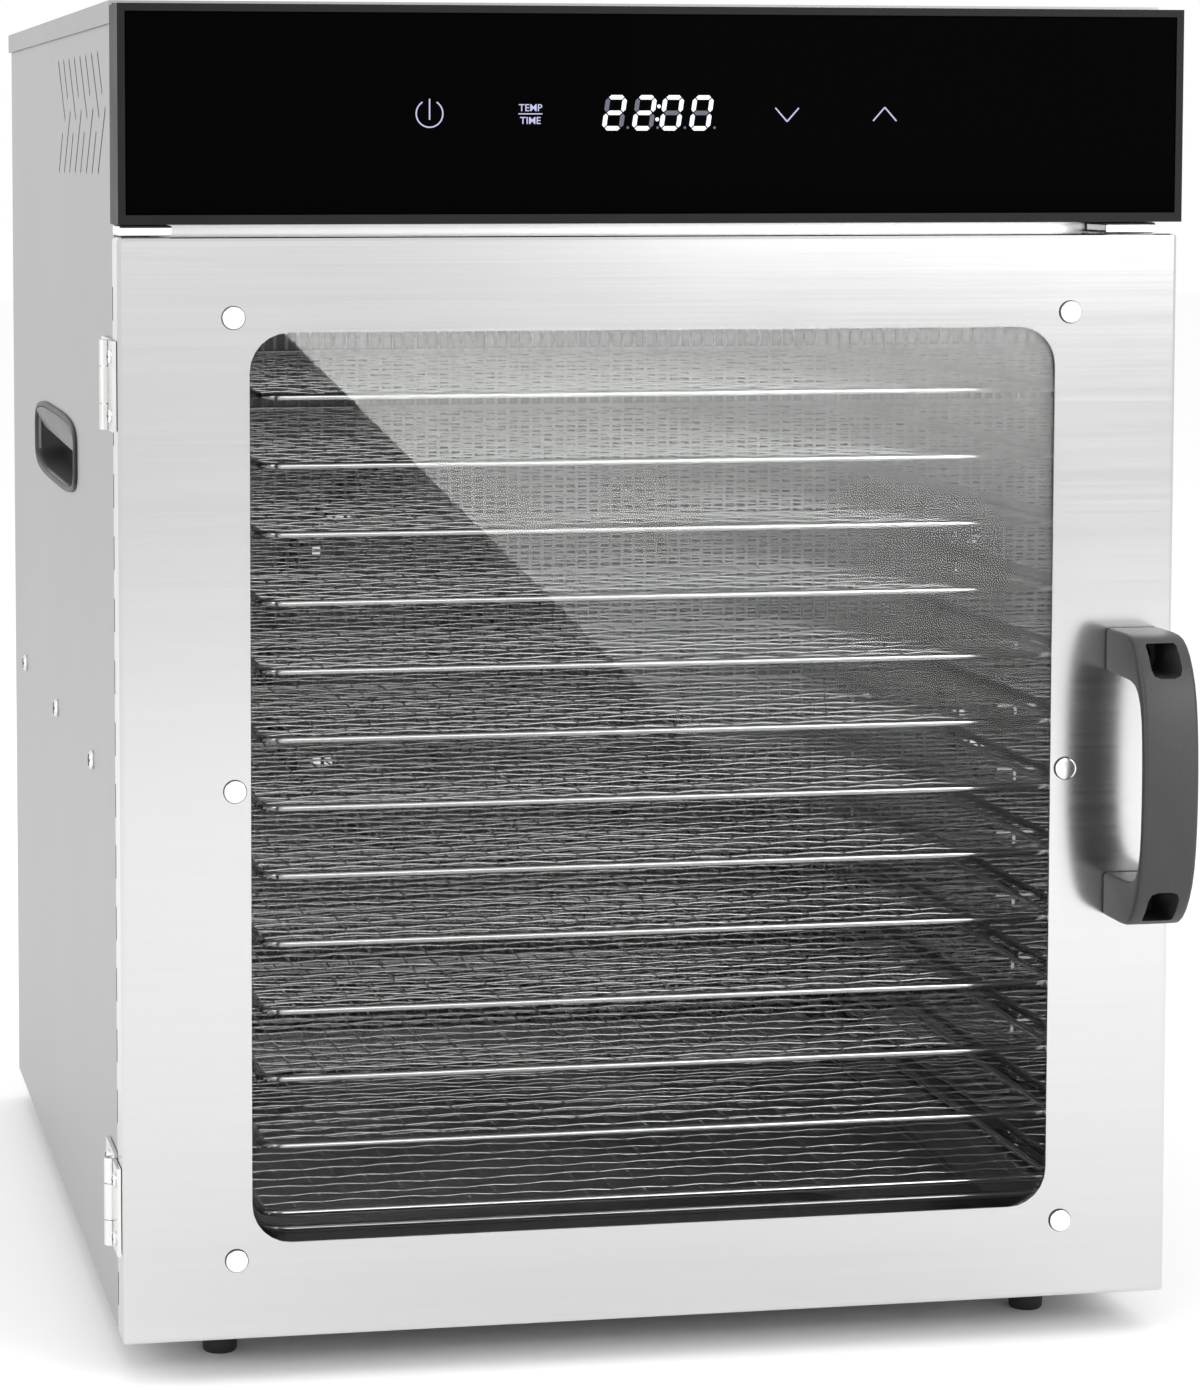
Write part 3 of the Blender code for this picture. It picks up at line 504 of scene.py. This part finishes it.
def woven_tray(low, high):
    """Builds one tray about its own middle height."""
    rng = random.Random(7)
    x0, y0 = low[0], low[1]
    x1, y1 = high[0], high[1]
    bm = bmesh.new()
    rings = []
    for inset, height in HEM:
        inset *= MM
        rings.append([bm.verts.new(p) for p in rounded_loop(x0 + inset, x1 - inset, y0 + inset,
                                                            y1 - inset, 11 * MM - inset,
                                                            height * MM, 6)])
    for a, b in zip(rings, rings[1:] + rings[:1]):
        for i in range(len(a)):
            j = (i + 1) % len(a)
            bm.faces.new((a[i], a[j], b[j], b[i]))
    inner = 3.4 * MM
    rows = int((y1 - y0 - 2 * inner) / CROSS_PITCH)
    step_y = (y1 - y0 - 2 * inner) / rows
    cols = int((x1 - x0 - 2 * inner) / LENGTH_PITCH)
    step_x = (x1 - x0 - 2 * inner) / cols
    for r in range(rows + 1):
        y = y0 + inner + step_y * r
        wander = rng.uniform(0.0, 6.28)
        points = []
        for i in range(cols * 4 + 1):
            x = x0 + inner * 0.5 + (x1 - x0 - inner) * i / (cols * 4)
            wave = math.cos(math.pi * ((x - x0 - inner) / step_x + r))
            sway = 0.55 * MM * math.sin(x * 43.0 + wander) + rng.uniform(-0.14, 0.14) * MM
            lift = 0.35 * MM * math.sin(x * 24.0 + 1.7 * wander)
            points.append(Vector((x, y + sway, CRIMP * wave + lift)))
        rod(bm, points, WIRE)
    for c in range(cols + 1):
        x = x0 + inner + step_x * c
        wander = rng.uniform(0.0, 6.28)
        points = []
        for i in range(rows * 3 + 1):
            y = y0 + inner * 0.5 + (y1 - y0 - inner) * i / (rows * 3)
            wave = math.cos(math.pi * ((y - y0 - inner) / step_y + c + 1))
            sway = 0.35 * MM * math.sin(y * 27.0 + wander)
            points.append(Vector((x + sway, y, CRIMP * wave)))
        rod(bm, points, WIRE * 0.85)
    return bm


low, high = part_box("tray_01")
tray_mesh = bpy.data.meshes.new("woven_tray")
bm = woven_tray(low, high)
bmesh.ops.recalc_face_normals(bm, faces=bm.faces)
bm.to_mesh(tray_mesh)
bm.free()
tray_mesh.materials.append(TRAY_WIRE)
for face in tray_mesh.polygons:
    face.use_smooth = True
tray_names = sorted(name for name in frame["nodes"] if name.startswith("tray_"))
for name in tray_names:
    low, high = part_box(name)
    tray = bpy.data.objects.new("mesh_" + name, tray_mesh)
    tray.location = (0.0, 0.0, (low[2] + high[2]) / 2)
    bpy.context.scene.collection.objects.link(tray)
    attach(tray, name)
    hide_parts(name)

# ---------------------------------------------------------------- drip tray
# Shallow pan pressed from brushed stainless sheet, under the lowest tray.  It has rounded
# corners and a rolled rim, and slides on its own.

PAN_STEEL = brushed("pan_sheet", (0.40, 0.40, 0.40), "X", 0.20, 0.08, 0.08)
low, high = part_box("drip_tray")
bm = bmesh.new()
PAN_STEPS = ((0.0, 1.2, 0.0), (0.0, 0.0, 0.4), (0.0, 0.0, 1.2), (0.9, 0.0, 1.8), (1.6, 0.0, 1.2),
             (2.6, 0.0, 0.0), (3.8, 16.8, 0.0), (6.2, 18.7, 0.0))
PAN_RIM_DROP = 1.9 * MM
rings = []
for inset, drop, lift in PAN_STEPS:
    z = high[2] - PAN_RIM_DROP - drop * MM + lift * MM
    loop = rounded_loop(low[0] + inset * MM, high[0] - inset * MM, low[1] + inset * MM,
                        high[1] - inset * MM, 12 * MM - inset * MM * 0.8, z, 6)
    rings.append([bm.verts.new(p) for p in loop])
for a, b in zip(rings[:-1], rings[1:]):
    for i in range(len(a)):
        j = (i + 1) % len(a)
        bm.faces.new((a[i], a[j], b[j], b[i]))
bm.faces.new(rings[-1])
pan = mesh_piece("pressed_drip_pan", bm, PAN_STEEL, "drip_tray")
wall = pan.modifiers.new("sheet", "SOLIDIFY")
wall.thickness = 0.6 * MM
wall.offset = 0.0
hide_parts("drip_tray")

# ---------------------------------------------------------------- door
# A shallow steel pan with folded edges and a big rounded window.  The pane sits behind the
# sheet on a bright retainer ring, held by six flat cap screws.

DOOR_STEEL = brushed("door_sheet", (0.62, 0.62, 0.62), "X", 0.18, 0.05, 0.06)
dress(DOOR_STEEL, "door_panel")
dress(POLISHED, "glass_retainer")


def blend_shaders(tree, share, base, over, output):
    """Shows one shader through another by a share, and sends the result to the output."""
    blend = tree.nodes.new("ShaderNodeMixShader")
    tree.links.new(share, blend.inputs[0])
    tree.links.new(base.outputs[0], blend.inputs[1])
    tree.links.new(over.outputs[0], blend.inputs[2])
    tree.links.new(blend.outputs[0], output.inputs["Surface"])


pane = Finish("window_glass", (0.9, 0.92, 0.92), 0.02)
smear = pane.noise((38.0, 38.0, 38.0), 3.0)
tree = pane.tree
clear = tree.nodes.new("ShaderNodeBsdfTransparent")
clear.inputs["Color"].default_value = (0.80, 0.805, 0.80, 1.0)
gloss = tree.nodes.new("ShaderNodeBsdfGlossy")
tree.links.new((smear * 0.012 + 0.006).socket, gloss.inputs["Roughness"])
facing = pane.node("LayerWeight", {}, {"Blend": 0.5}, "Facing")
HEAD_ON = 0.004
mirrored = facing ** 5.0 * (1.0 - HEAD_ON) + HEAD_ON
tree.nodes.remove(pane.surface)
blend_shaders(tree, mirrored.socket, clear, gloss, tree.nodes["Material Output"])
dress(pane.material, "door_glass")

CAP_STEEL = plated("cap_plate", (0.93, 0.93, 0.93), 0.20)
CAP = [(0.0, 0.0), (4.0, 0.0), (4.0, 0.35), (4.5, 0.42), (4.5, 0.95), (4.3, 1.2), (3.7, 1.32),
       (0.0, 1.42)]
forward = Matrix.Rotation(math.pi / 2, 4, "X")
for number in range(1, 7):
    low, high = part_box("cap_screw_%d" % number)
    seat = Matrix.Translation(((low[0] + high[0]) / 2, high[1], (low[2] + high[2]) / 2))
    bm = bmesh.new()
    lathe(bm, [(r * MM, h * MM) for r, h in CAP], seat @ forward, 36)
    cap = mesh_piece("window_cap_%d" % number, bm, CAP_STEEL, "door")
    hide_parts("cap_screw_%d" % number)
    # A near-black disc a little wider than the cap: painted shadow in the gap under the cap rim.
    bm = bmesh.new()
    lathe(bm, [(0.0, 0.0), (4.78 * MM, 0.0), (4.78 * MM, 0.30 * MM), (0.0, 0.34 * MM)],
          seat @ forward, 36)
    shadow_ring = mesh_piece("cap_shadow_ring_%d" % number, bm, PAINTED_SHADE, "door")

# ---------------------------------------------------------------- door edge stiffening slots
# Short slots pressed into the folded edge of the door, in an even row down both sides;
# their shade is painted as thin near-black bars set into the edge.

low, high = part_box("door_panel")
SLOT_LONG, SLOT_PITCH, SLOT_BACK = 13.5 * MM, 25.0 * MM, 1.7 * MM
bm = bmesh.new()
rise = low[2] + 12 * MM
while rise + SLOT_LONG < high[2] - 12 * MM:
    for side in (-1, 1):
        face = low[0] if side < 0 else high[0]
        block(bm, (face - side * 0.6 * MM, high[1] - SLOT_BACK - 1.5 * MM, rise),
              (face + side * 0.06 * MM, high[1] - SLOT_BACK, rise + SLOT_LONG))
    rise += SLOT_PITCH
# Near-black bars: painted shade in the slots.
slots = mesh_piece("door_edge_slot_shade", bm, PAINTED_SHADE, "door", False)

# ---------------------------------------------------------------- door handle
# Bowed bridge handle moulded in grained black nylon.  A plated screw goes down a well at
# each end, into the door.

HANDLE_NYLON = moulded("handle_nylon", (0.014, 0.014, 0.015), (0.052, 0.052, 0.054), 0.44, 1100.0,
                       0.7)
low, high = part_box("door_handle")
middle_z, half_z, proud = (low[2] + high[2]) / 2, (high[2] - low[2]) / 2, high[1] - low[1]
OUTER = ((1.0, 0.0), (1.0, 0.20), (1.0, 0.40), (0.993, 0.52), (0.975, 0.61), (0.935, 0.69),
         (0.875, 0.765), (0.79, 0.835), (0.69, 0.895), (0.57, 0.94), (0.43, 0.970), (0.28, 0.988),
         (0.12, 0.998), (0.0, 1.0))
INNER = ((0.700, 0.0), (0.698, 0.22), (0.692, 0.48), (0.683, 0.60), (0.660, 0.71), (0.615, 0.78),
         (0.54, 0.835), (0.44, 0.870), (0.30, 0.888), (0.13, 0.896), (0.0, 0.898))
side_view = [(r * half_z, p * proud) for r, p in OUTER] + [(-r * half_z, p * proud)
                                                           for r, p in reversed(OUTER[:-1])]
side_view += [(-r * half_z, p * proud) for r, p in INNER] + [(r * half_z, p * proud)
                                                             for r, p in reversed(INNER[:-1])]
WELL = ((-6.6, -4.0), (-5.6, -6.6), (-3.0, -7.6), (3.0, -7.6), (5.6, -6.6), (6.6, -4.0),
        (6.6, 5.0), (5.8, 5.8), (-5.8, 5.8), (-6.6, 5.0))
WELL_INSET, WELL_FLOOR = 8.8 * MM, 9.0 * MM


def extruded(name, outline, place, low_end, high_end):
    """A closed prism from an outline, with place(u, v, w) giving each corner."""
    bm = bmesh.new()
    ends = [[bm.verts.new(place(u, v, w)) for u, v in outline] for w in (low_end, high_end)]
    bm.faces.new(ends[0])
    bm.faces.new(list(reversed(ends[1])))
    for i in range(len(outline)):
        j = (i + 1) % len(outline)
        bm.faces.new((ends[0][i], ends[0][j], ends[1][j], ends[1][i]))
    bmesh.ops.recalc_face_normals(bm, faces=bm.faces)
    mesh = bpy.data.meshes.new(name)
    bm.to_mesh(mesh)
    bm.free()
    made = bpy.data.objects.new(name, mesh)
    bpy.context.scene.collection.objects.link(made)
    return made


grip = extruded("bridge_handle", side_view,
                lambda u, v, w: (w, high[1] - v, middle_z + u), low[0], high[0])
bevel = grip.modifiers.new("edges", "BEVEL")
bevel.width, bevel.segments, bevel.limit_method = 1.9 * MM, 4, "ANGLE"
bevel.angle_limit = math.radians(50)
wells = []
for side in (-1, 1):
    cutter = extruded("well_cutter", [(u * MM, v * MM * side) for u, v in WELL],
                      lambda u, v, w: ((low[0] + high[0]) / 2 + u, w,
                                       middle_z + side * (half_z - WELL_INSET) + v),
                      low[1] - 2 * MM, high[1] - WELL_FLOOR)
    cut = grip.modifiers.new("well", "BOOLEAN")
    cut.object, cut.operation, cut.solver = cutter, "DIFFERENCE", "EXACT"
    wells.append(cutter)
shaped = bpy.data.meshes.new_from_object(
    grip.evaluated_get(bpy.context.evaluated_depsgraph_get()))
grip.modifiers.clear()
grip.data = shaped
for cutter in wells:
    bpy.data.objects.remove(cutter)
shaped.materials.clear()
shaped.materials.append(HANDLE_NYLON)
for face in shaped.polygons:
    face.use_smooth = True
    face.material_index = 0
shaped.set_sharp_from_angle(angle=math.radians(38))
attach(grip, "door")
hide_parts("door_handle")
dress(SCREW_STEEL, "handle_screw_lower", "handle_screw_upper")

# ---------------------------------------------------------------- hinges
# Two small butt hinges on the left edge, bright plated, each with a pin through three
# knuckles.  Cross-head screws hold one leaf to the case and one to the door.

dress(SCREW_STEEL, "hinge_body_leaf_lower", "hinge_body_leaf_upper", "hinge_door_leaf_lower",
      "hinge_door_leaf_upper", "hinge_pin_lower", "hinge_pin_upper")
case_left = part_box("door_panel")[0][0]
BODY_LEAF_OUT, DOOR_LEAF_OUT = 0.3 * MM, 1.8 * MM
leftward = Matrix.Rotation(-math.pi / 2, 4, "Y")
for tag in ("lower", "upper"):
    low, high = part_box("hinge_body_leaf_" + tag)
    for end, share in (("bottom", 0.16), ("top", 0.84)):
        z = low[2] + (high[2] - low[2]) * share
        seat = Matrix.Translation((case_left - BODY_LEAF_OUT, high[1] - 12.0 * MM, z))
        cross_screw("hinge_screw_%s_%s" % (tag, end), seat @ leftward, "cabinet", 0.75)
    low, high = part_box("hinge_door_leaf_" + tag)
    for end, share in (("bottom", 0.17), ("top", 0.83)):
        z = low[2] + (high[2] - low[2]) * share
        seat = Matrix.Translation((case_left - DOOR_LEAF_OUT, low[1] + 6.5 * MM, z))
        cross_screw("leaf_screw_%s_%s" % (tag, end), seat @ leftward, "door", 0.7)

# ---------------------------------------------------------------- control fascia
# Satin grey surround with a black glass touch panel.  A clock display and four touch marks
# shine through the glass.

BEZEL_GREY = moulded("bezel_grey", (0.009, 0.009, 0.010), (0.016, 0.016, 0.017), 0.42, 1800.0,
                     0.12, 0.12)
dress(BEZEL_GREY, "control_bezel")

panel = Finish("panel_glass", (0.001, 0.001, 0.001), 0.03, 0.0, Specular_IOR_Level=0.004)
smear = panel.noise((30.0, 30.0, 30.0), 3.0)
panel.set("Roughness", smear * 0.05 + 0.02)
dress(panel.material, "control_glass")


def glowing(name, colour, power):
    """Backlit print: even light with the slight mottling of a diffuser."""
    mark = Finish(name, (0.02, 0.02, 0.02), 0.4, 0.0, Emission_Strength=power)
    mottle = mark.noise((900.0, 900.0, 900.0), 2.0)
    mark.set("Emission Color", mark.shade(mottle, [c * 0.86 for c in colour], colour))
    return mark.material


DIGIT_LIT = glowing("digit_lit", (0.90, 0.95, 1.0), 1.3)
DIGIT_DIM = glowing("digit_dim", (0.20, 0.21, 0.32), 0.45)
TOUCH_MARK = glowing("touch_mark", (0.66, 0.66, 1.0), 0.85)
dress(DIGIT_DIM, "display_module")
glass_low, glass_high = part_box("control_glass")
panel_mid = (glass_low[2] + glass_high[2]) / 2
front = glass_low[1]
PRINT_GAP, PRINT_RAISE = 0.01 * MM, 0.12 * MM


def flat_shape(bm, outline):
    """Adds a thin plate on the panel's front.  Outline points are (x, z)."""
    back = [bm.verts.new((x, front - PRINT_GAP, z)) for x, z in outline]
    fore = [bm.verts.new((x, front - PRINT_RAISE, z)) for x, z in outline]
    bm.faces.new(back)
    bm.faces.new(fore)
    for i in range(len(outline)):
        j = (i + 1) % len(outline)
        bm.faces.new((back[i], back[j], fore[j], fore[i]))


def disc(bm, x, z, radius, corners):
    """A round dot."""
    turns = [2 * math.pi * k / corners for k in range(corners)]
    flat_shape(bm, [(x + radius * math.cos(t), z + radius * math.sin(t)) for t in turns])


def bar(bm, a, b, width):
    """A straight stroke between two points."""
    run = Vector((b[0] - a[0], b[1] - a[1])).normalized()
    off = Vector((-run.y, run.x)) * width / 2
    corners = [(a[0] + off.x, a[1] + off.y), (b[0] + off.x, b[1] + off.y),
               (b[0] - off.x, b[1] - off.y), (a[0] - off.x, a[1] - off.y)]
    flat_shape(bm, corners)


SEGMENTS = {"a": ((0.0, 1.0), (1.0, 1.0)), "b": ((1.0, 1.0), (1.0, 0.5)),
            "c": ((1.0, 0.5), (1.0, 0.0)), "d": ((0.0, 0.0), (1.0, 0.0)),
            "e": ((0.0, 0.0), (0.0, 0.5)), "f": ((0.0, 0.5), (0.0, 1.0)),
            "g": ((0.0, 0.5), (1.0, 0.5))}
DIGITS = {"2": "abged", "0": "abcdef"}
DIGIT_W, DIGIT_H, DIGIT_STEP, LEAN, STROKE = 6.9 * MM, 12.4 * MM, 12.3 * MM, 0.14, 1.8 * MM
DOT, COLON = 0.55 * MM, 0.8 * MM
lit, dim = bmesh.new(), bmesh.new()
display_x = -0.0235
display_z = panel_mid + 0.5 * MM


def segment(bm, x, z, ends, stroke):
    """One tapered display segment with pointed ends, leaning with the digit."""
    (ax, az), (bx, bz) = ends
    a = Vector((x + ax * DIGIT_W, z + (az - 0.5) * DIGIT_H))
    b = Vector((x + bx * DIGIT_W, z + (bz - 0.5) * DIGIT_H))
    run = (b - a).normalized()
    side = Vector((-run.y, run.x)) * stroke / 2
    gap = run * 0.35 * MM
    tip = run * stroke / 2
    shape = [a + gap, a + gap + tip + side, b - gap - tip + side, b - gap,
             b - gap - tip - side, a + gap + tip - side]
    flat_shape(bm, [(p.x + (p.y - z) * LEAN, p.y) for p in shape])


for place, digit in enumerate("2200"):
    x = display_x + DIGIT_STEP * place - (1.0 * MM if place > 1 else 0.0)
    for key, ends in SEGMENTS.items():
        segment(lit if key in DIGITS[digit] else dim, x, display_z, ends, STROKE)
    disc(dim, x + DIGIT_W + 2.0 * MM, display_z - DIGIT_H / 2 + 0.3 * MM, DOT, 8)
for rise in (-2.6 * MM, 2.6 * MM):
    disc(lit, display_x + 2 * DIGIT_STEP - 3.2 * MM + rise * LEAN, display_z + rise, COLON, 10)
for name, bm, material in (("display_lit", lit, DIGIT_LIT), ("display_dim", dim, DIGIT_DIM)):
    piece = mesh_piece(name, bm, material, "cabinet", False)


def arc(bm, cx, cz, radius, start, end, width, steps=26):
    """A curved stroke about a centre, angles in degrees."""
    for i in range(steps):
        turns = [math.radians(start + (end - start) * (i + k) / steps) for k in (0, 1)]
        outline = []
        for turn, r in ((turns[0], radius + width / 2), (turns[1], radius + width / 2),
                        (turns[1], radius - width / 2), (turns[0], radius - width / 2)):
            outline.append((cx + r * math.cos(turn), cz + r * math.sin(turn)))
        flat_shape(bm, outline)


MARK_LINE = 0.55 * MM
marks = bmesh.new()
power_x = -0.0955
arc(marks, power_x, panel_mid, 5.4 * MM, 122, 418, MARK_LINE)
bar(marks, (power_x, panel_mid + 5.9 * MM), (power_x, panel_mid - 2.4 * MM), MARK_LINE)
for x, flip in ((0.0515, -1), (0.0925, 1)):
    tip = (x, panel_mid + flip * 2.9 * MM)
    for side in (-1, 1):
        bar(marks, (x + side * 4.9 * MM, panel_mid - flip * 2.6 * MM), tip, MARK_LINE)
label_x = -0.0545
bar(marks, (label_x - 4.9 * MM, panel_mid), (label_x + 4.9 * MM, panel_mid), MARK_LINE * 0.8)
for word, level in (("TEMP", 1.1), ("TIME", -4.0)):
    script = bpy.data.curves.new("label_" + word.lower(), "FONT")
    script.body, script.size, script.align_x = word, 4.0 * MM, "CENTER"
    script.offset, script.extrude = 0.03 * MM, 0.05 * MM
    carrier = bpy.data.objects.new("label_" + word.lower(), script)
    bpy.context.scene.collection.objects.link(carrier)
    outline = bpy.data.meshes.new_from_object(
        carrier.evaluated_get(bpy.context.evaluated_depsgraph_get()))
    bpy.data.objects.remove(carrier)
    outline.transform(Matrix.Translation((label_x, front - 0.07 * MM, panel_mid + level * MM))
                      @ Matrix.Rotation(math.pi / 2, 4, "X"))
    outline.materials.clear()
    outline.materials.append(TOUCH_MARK)
    label = bpy.data.objects.new("label_" + word.lower(), outline)
    bpy.context.scene.collection.objects.link(label)
    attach(label, "cabinet")
piece = mesh_piece("touch_marks", marks, TOUCH_MARK, "cabinet", False)

# ---------------------------------------------------------------- floor, lights and camera
# Seamless pale floor and soft lights at both sides, in front and overhead.  A slanted card
# is mirrored by the window glass alone, and one lamp lights only what is in the cavity.

floor_paint = Finish("studio_floor", (0.96, 0.96, 0.96), 0.8, Specular_IOR_Level=0.2)
tone = floor_paint.noise((3.0, 3.0, 3.0), 2.0)
floor_paint.set("Base Color", floor_paint.shade(tone, (0.915, 0.915, 0.915), (0.93, 0.93, 0.93)))


def stage_piece(name, bm, material):
    """Turns a bmesh into part of the studio, which belongs to no body."""
    mesh = bpy.data.meshes.new(name)
    bm.to_mesh(mesh)
    bm.free()
    mesh.materials.append(material)
    piece = bpy.data.objects.new(name, mesh)
    bpy.context.scene.collection.objects.link(piece)
    return piece


FLOOR_HALF = 12.0
bm = bmesh.new()
bmesh.ops.create_grid(bm, x_segments=2, y_segments=2, size=FLOOR_HALF)
stage_piece("studio_floor", bm, floor_paint.material)

world = bpy.data.worlds.new("studio_air")
bpy.context.scene.world = world
world.use_nodes = True
air = world.node_tree
seen = air.nodes["Background"]
seen.inputs["Color"].default_value = (1.0, 1.0, 1.0, 1.0)
around = air.nodes.new("ShaderNodeBackground")
around.inputs["Color"].default_value = (1.0, 1.0, 1.0, 1.0)
around.inputs["Strength"].default_value = 1.05
ray = air.nodes.new("ShaderNodeLightPath")
blend_shaders(air, ray.outputs["Is Camera Ray"], around, seen, air.nodes["World Output"])
bpy.context.scene.view_settings.view_transform = "Standard"

CARD_OUT, CARD_TALL, CARD_GLOW, CARD_SHARE = 1.0, 0.36, 3400.0, 0.02
CARD_CORNERS = ((-0.124, 0.5), (0.72, 0.5), (0.72, 0.004), (0.373, 0.004))
card_shine = Finish("window_light", (0.0, 0.0, 0.0), 1.0)
height = card_shine.node("SeparateXYZ", {}, {0: card_shine.place((1.0, 1.0, 1.0))}, 2)
fade = (height * (1 / CARD_TALL)) ** 2.0 * CARD_SHARE
tree = card_shine.tree
tree.nodes.remove(card_shine.surface)
shine = tree.nodes.new("ShaderNodeEmission")
shine.inputs["Strength"].default_value = CARD_GLOW
through = tree.nodes.new("ShaderNodeBsdfTransparent")
blend_shaders(tree, fade.socket, through, shine, tree.nodes["Material Output"])
bm = bmesh.new()
bm.faces.new([bm.verts.new((x, door_face - CARD_OUT, z)) for x, z in CARD_CORNERS])
card = stage_piece("window_card", bm, card_shine.material)
card.visible_camera = card.visible_diffuse = card.visible_shadow = False
card.visible_transmission = card.visible_volume_scatter = False
glass_only = bpy.data.collections.new("glass_only")
glass_only.objects.link(frame["nodes"]["door_glass"])
card.light_linking.receiver_collection = glass_only


def soft_light(name, place, aim, size, power):
    """A rectangular soft light, aimed at a point."""
    light = bpy.data.lights.new(name, "AREA")
    light.shape = "RECTANGLE"
    light.size, light.size_y = size
    light.energy = power
    lamp = bpy.data.objects.new(name, light)
    way = (Vector(aim) - Vector(place)).to_track_quat("-Z", "Y").to_matrix().to_4x4()
    lamp.matrix_world = Matrix.Translation(place) @ way
    bpy.context.scene.collection.objects.link(lamp)
    return lamp


heart = (0.0, 0.0, 0.28)
soft_light("left_softbox", (-2.4, -0.6, 1.2), heart, (1.6, 1.8), 20.0)
soft_light("right_softbox", (1.5, -2.2, 1.5), heart, (1.4, 1.4), 16.0)
soft_light("front_softbox", (1.15, -2.1, 0.95), (0.1, -0.2, 0.45), (1.5, 1.0), 9.0)
soft_light("door_softbox", (0.45, -2.1, 0.60), (0.1, -0.2, 0.45), (1.7, 0.3), 0.60)
soft_light("top_softbox", (0.1, -0.2, 2.4), heart, (2.4, 2.4), 12.0)

inner = soft_light("cavity_softbox", (0.25, -1.9, 0.62), (0.0, -0.1, 0.22), (1.6, 0.18), 7.5)
cavity_only = bpy.data.collections.new("cavity_only")
for item in bpy.context.scene.objects:
    if item.name.startswith(("mesh_tray", "pressed_drip", "slatted")):
        cavity_only.objects.link(item)
inner.light_linking.receiver_collection = cavity_only
inner.light_linking.blocker_collection = cavity_only

STAND_OFF = 1.6047
camera_data = bpy.data.cameras.new("studio_camera")
camera = bpy.data.objects.new("studio_camera", camera_data)
bpy.context.scene.collection.objects.link(camera)
camera_data.lens = 105.47
camera_data.sensor_width = 36.0
camera_data.shift_x = 0.1225
camera_data.shift_y = -0.1645
camera.location = (-0.3919, door_face - STAND_OFF, 0.4952)
camera.rotation_euler = (math.radians(90.0 - 4.38), 0.0, math.radians(-10.49))
bpy.context.scene.camera = camera
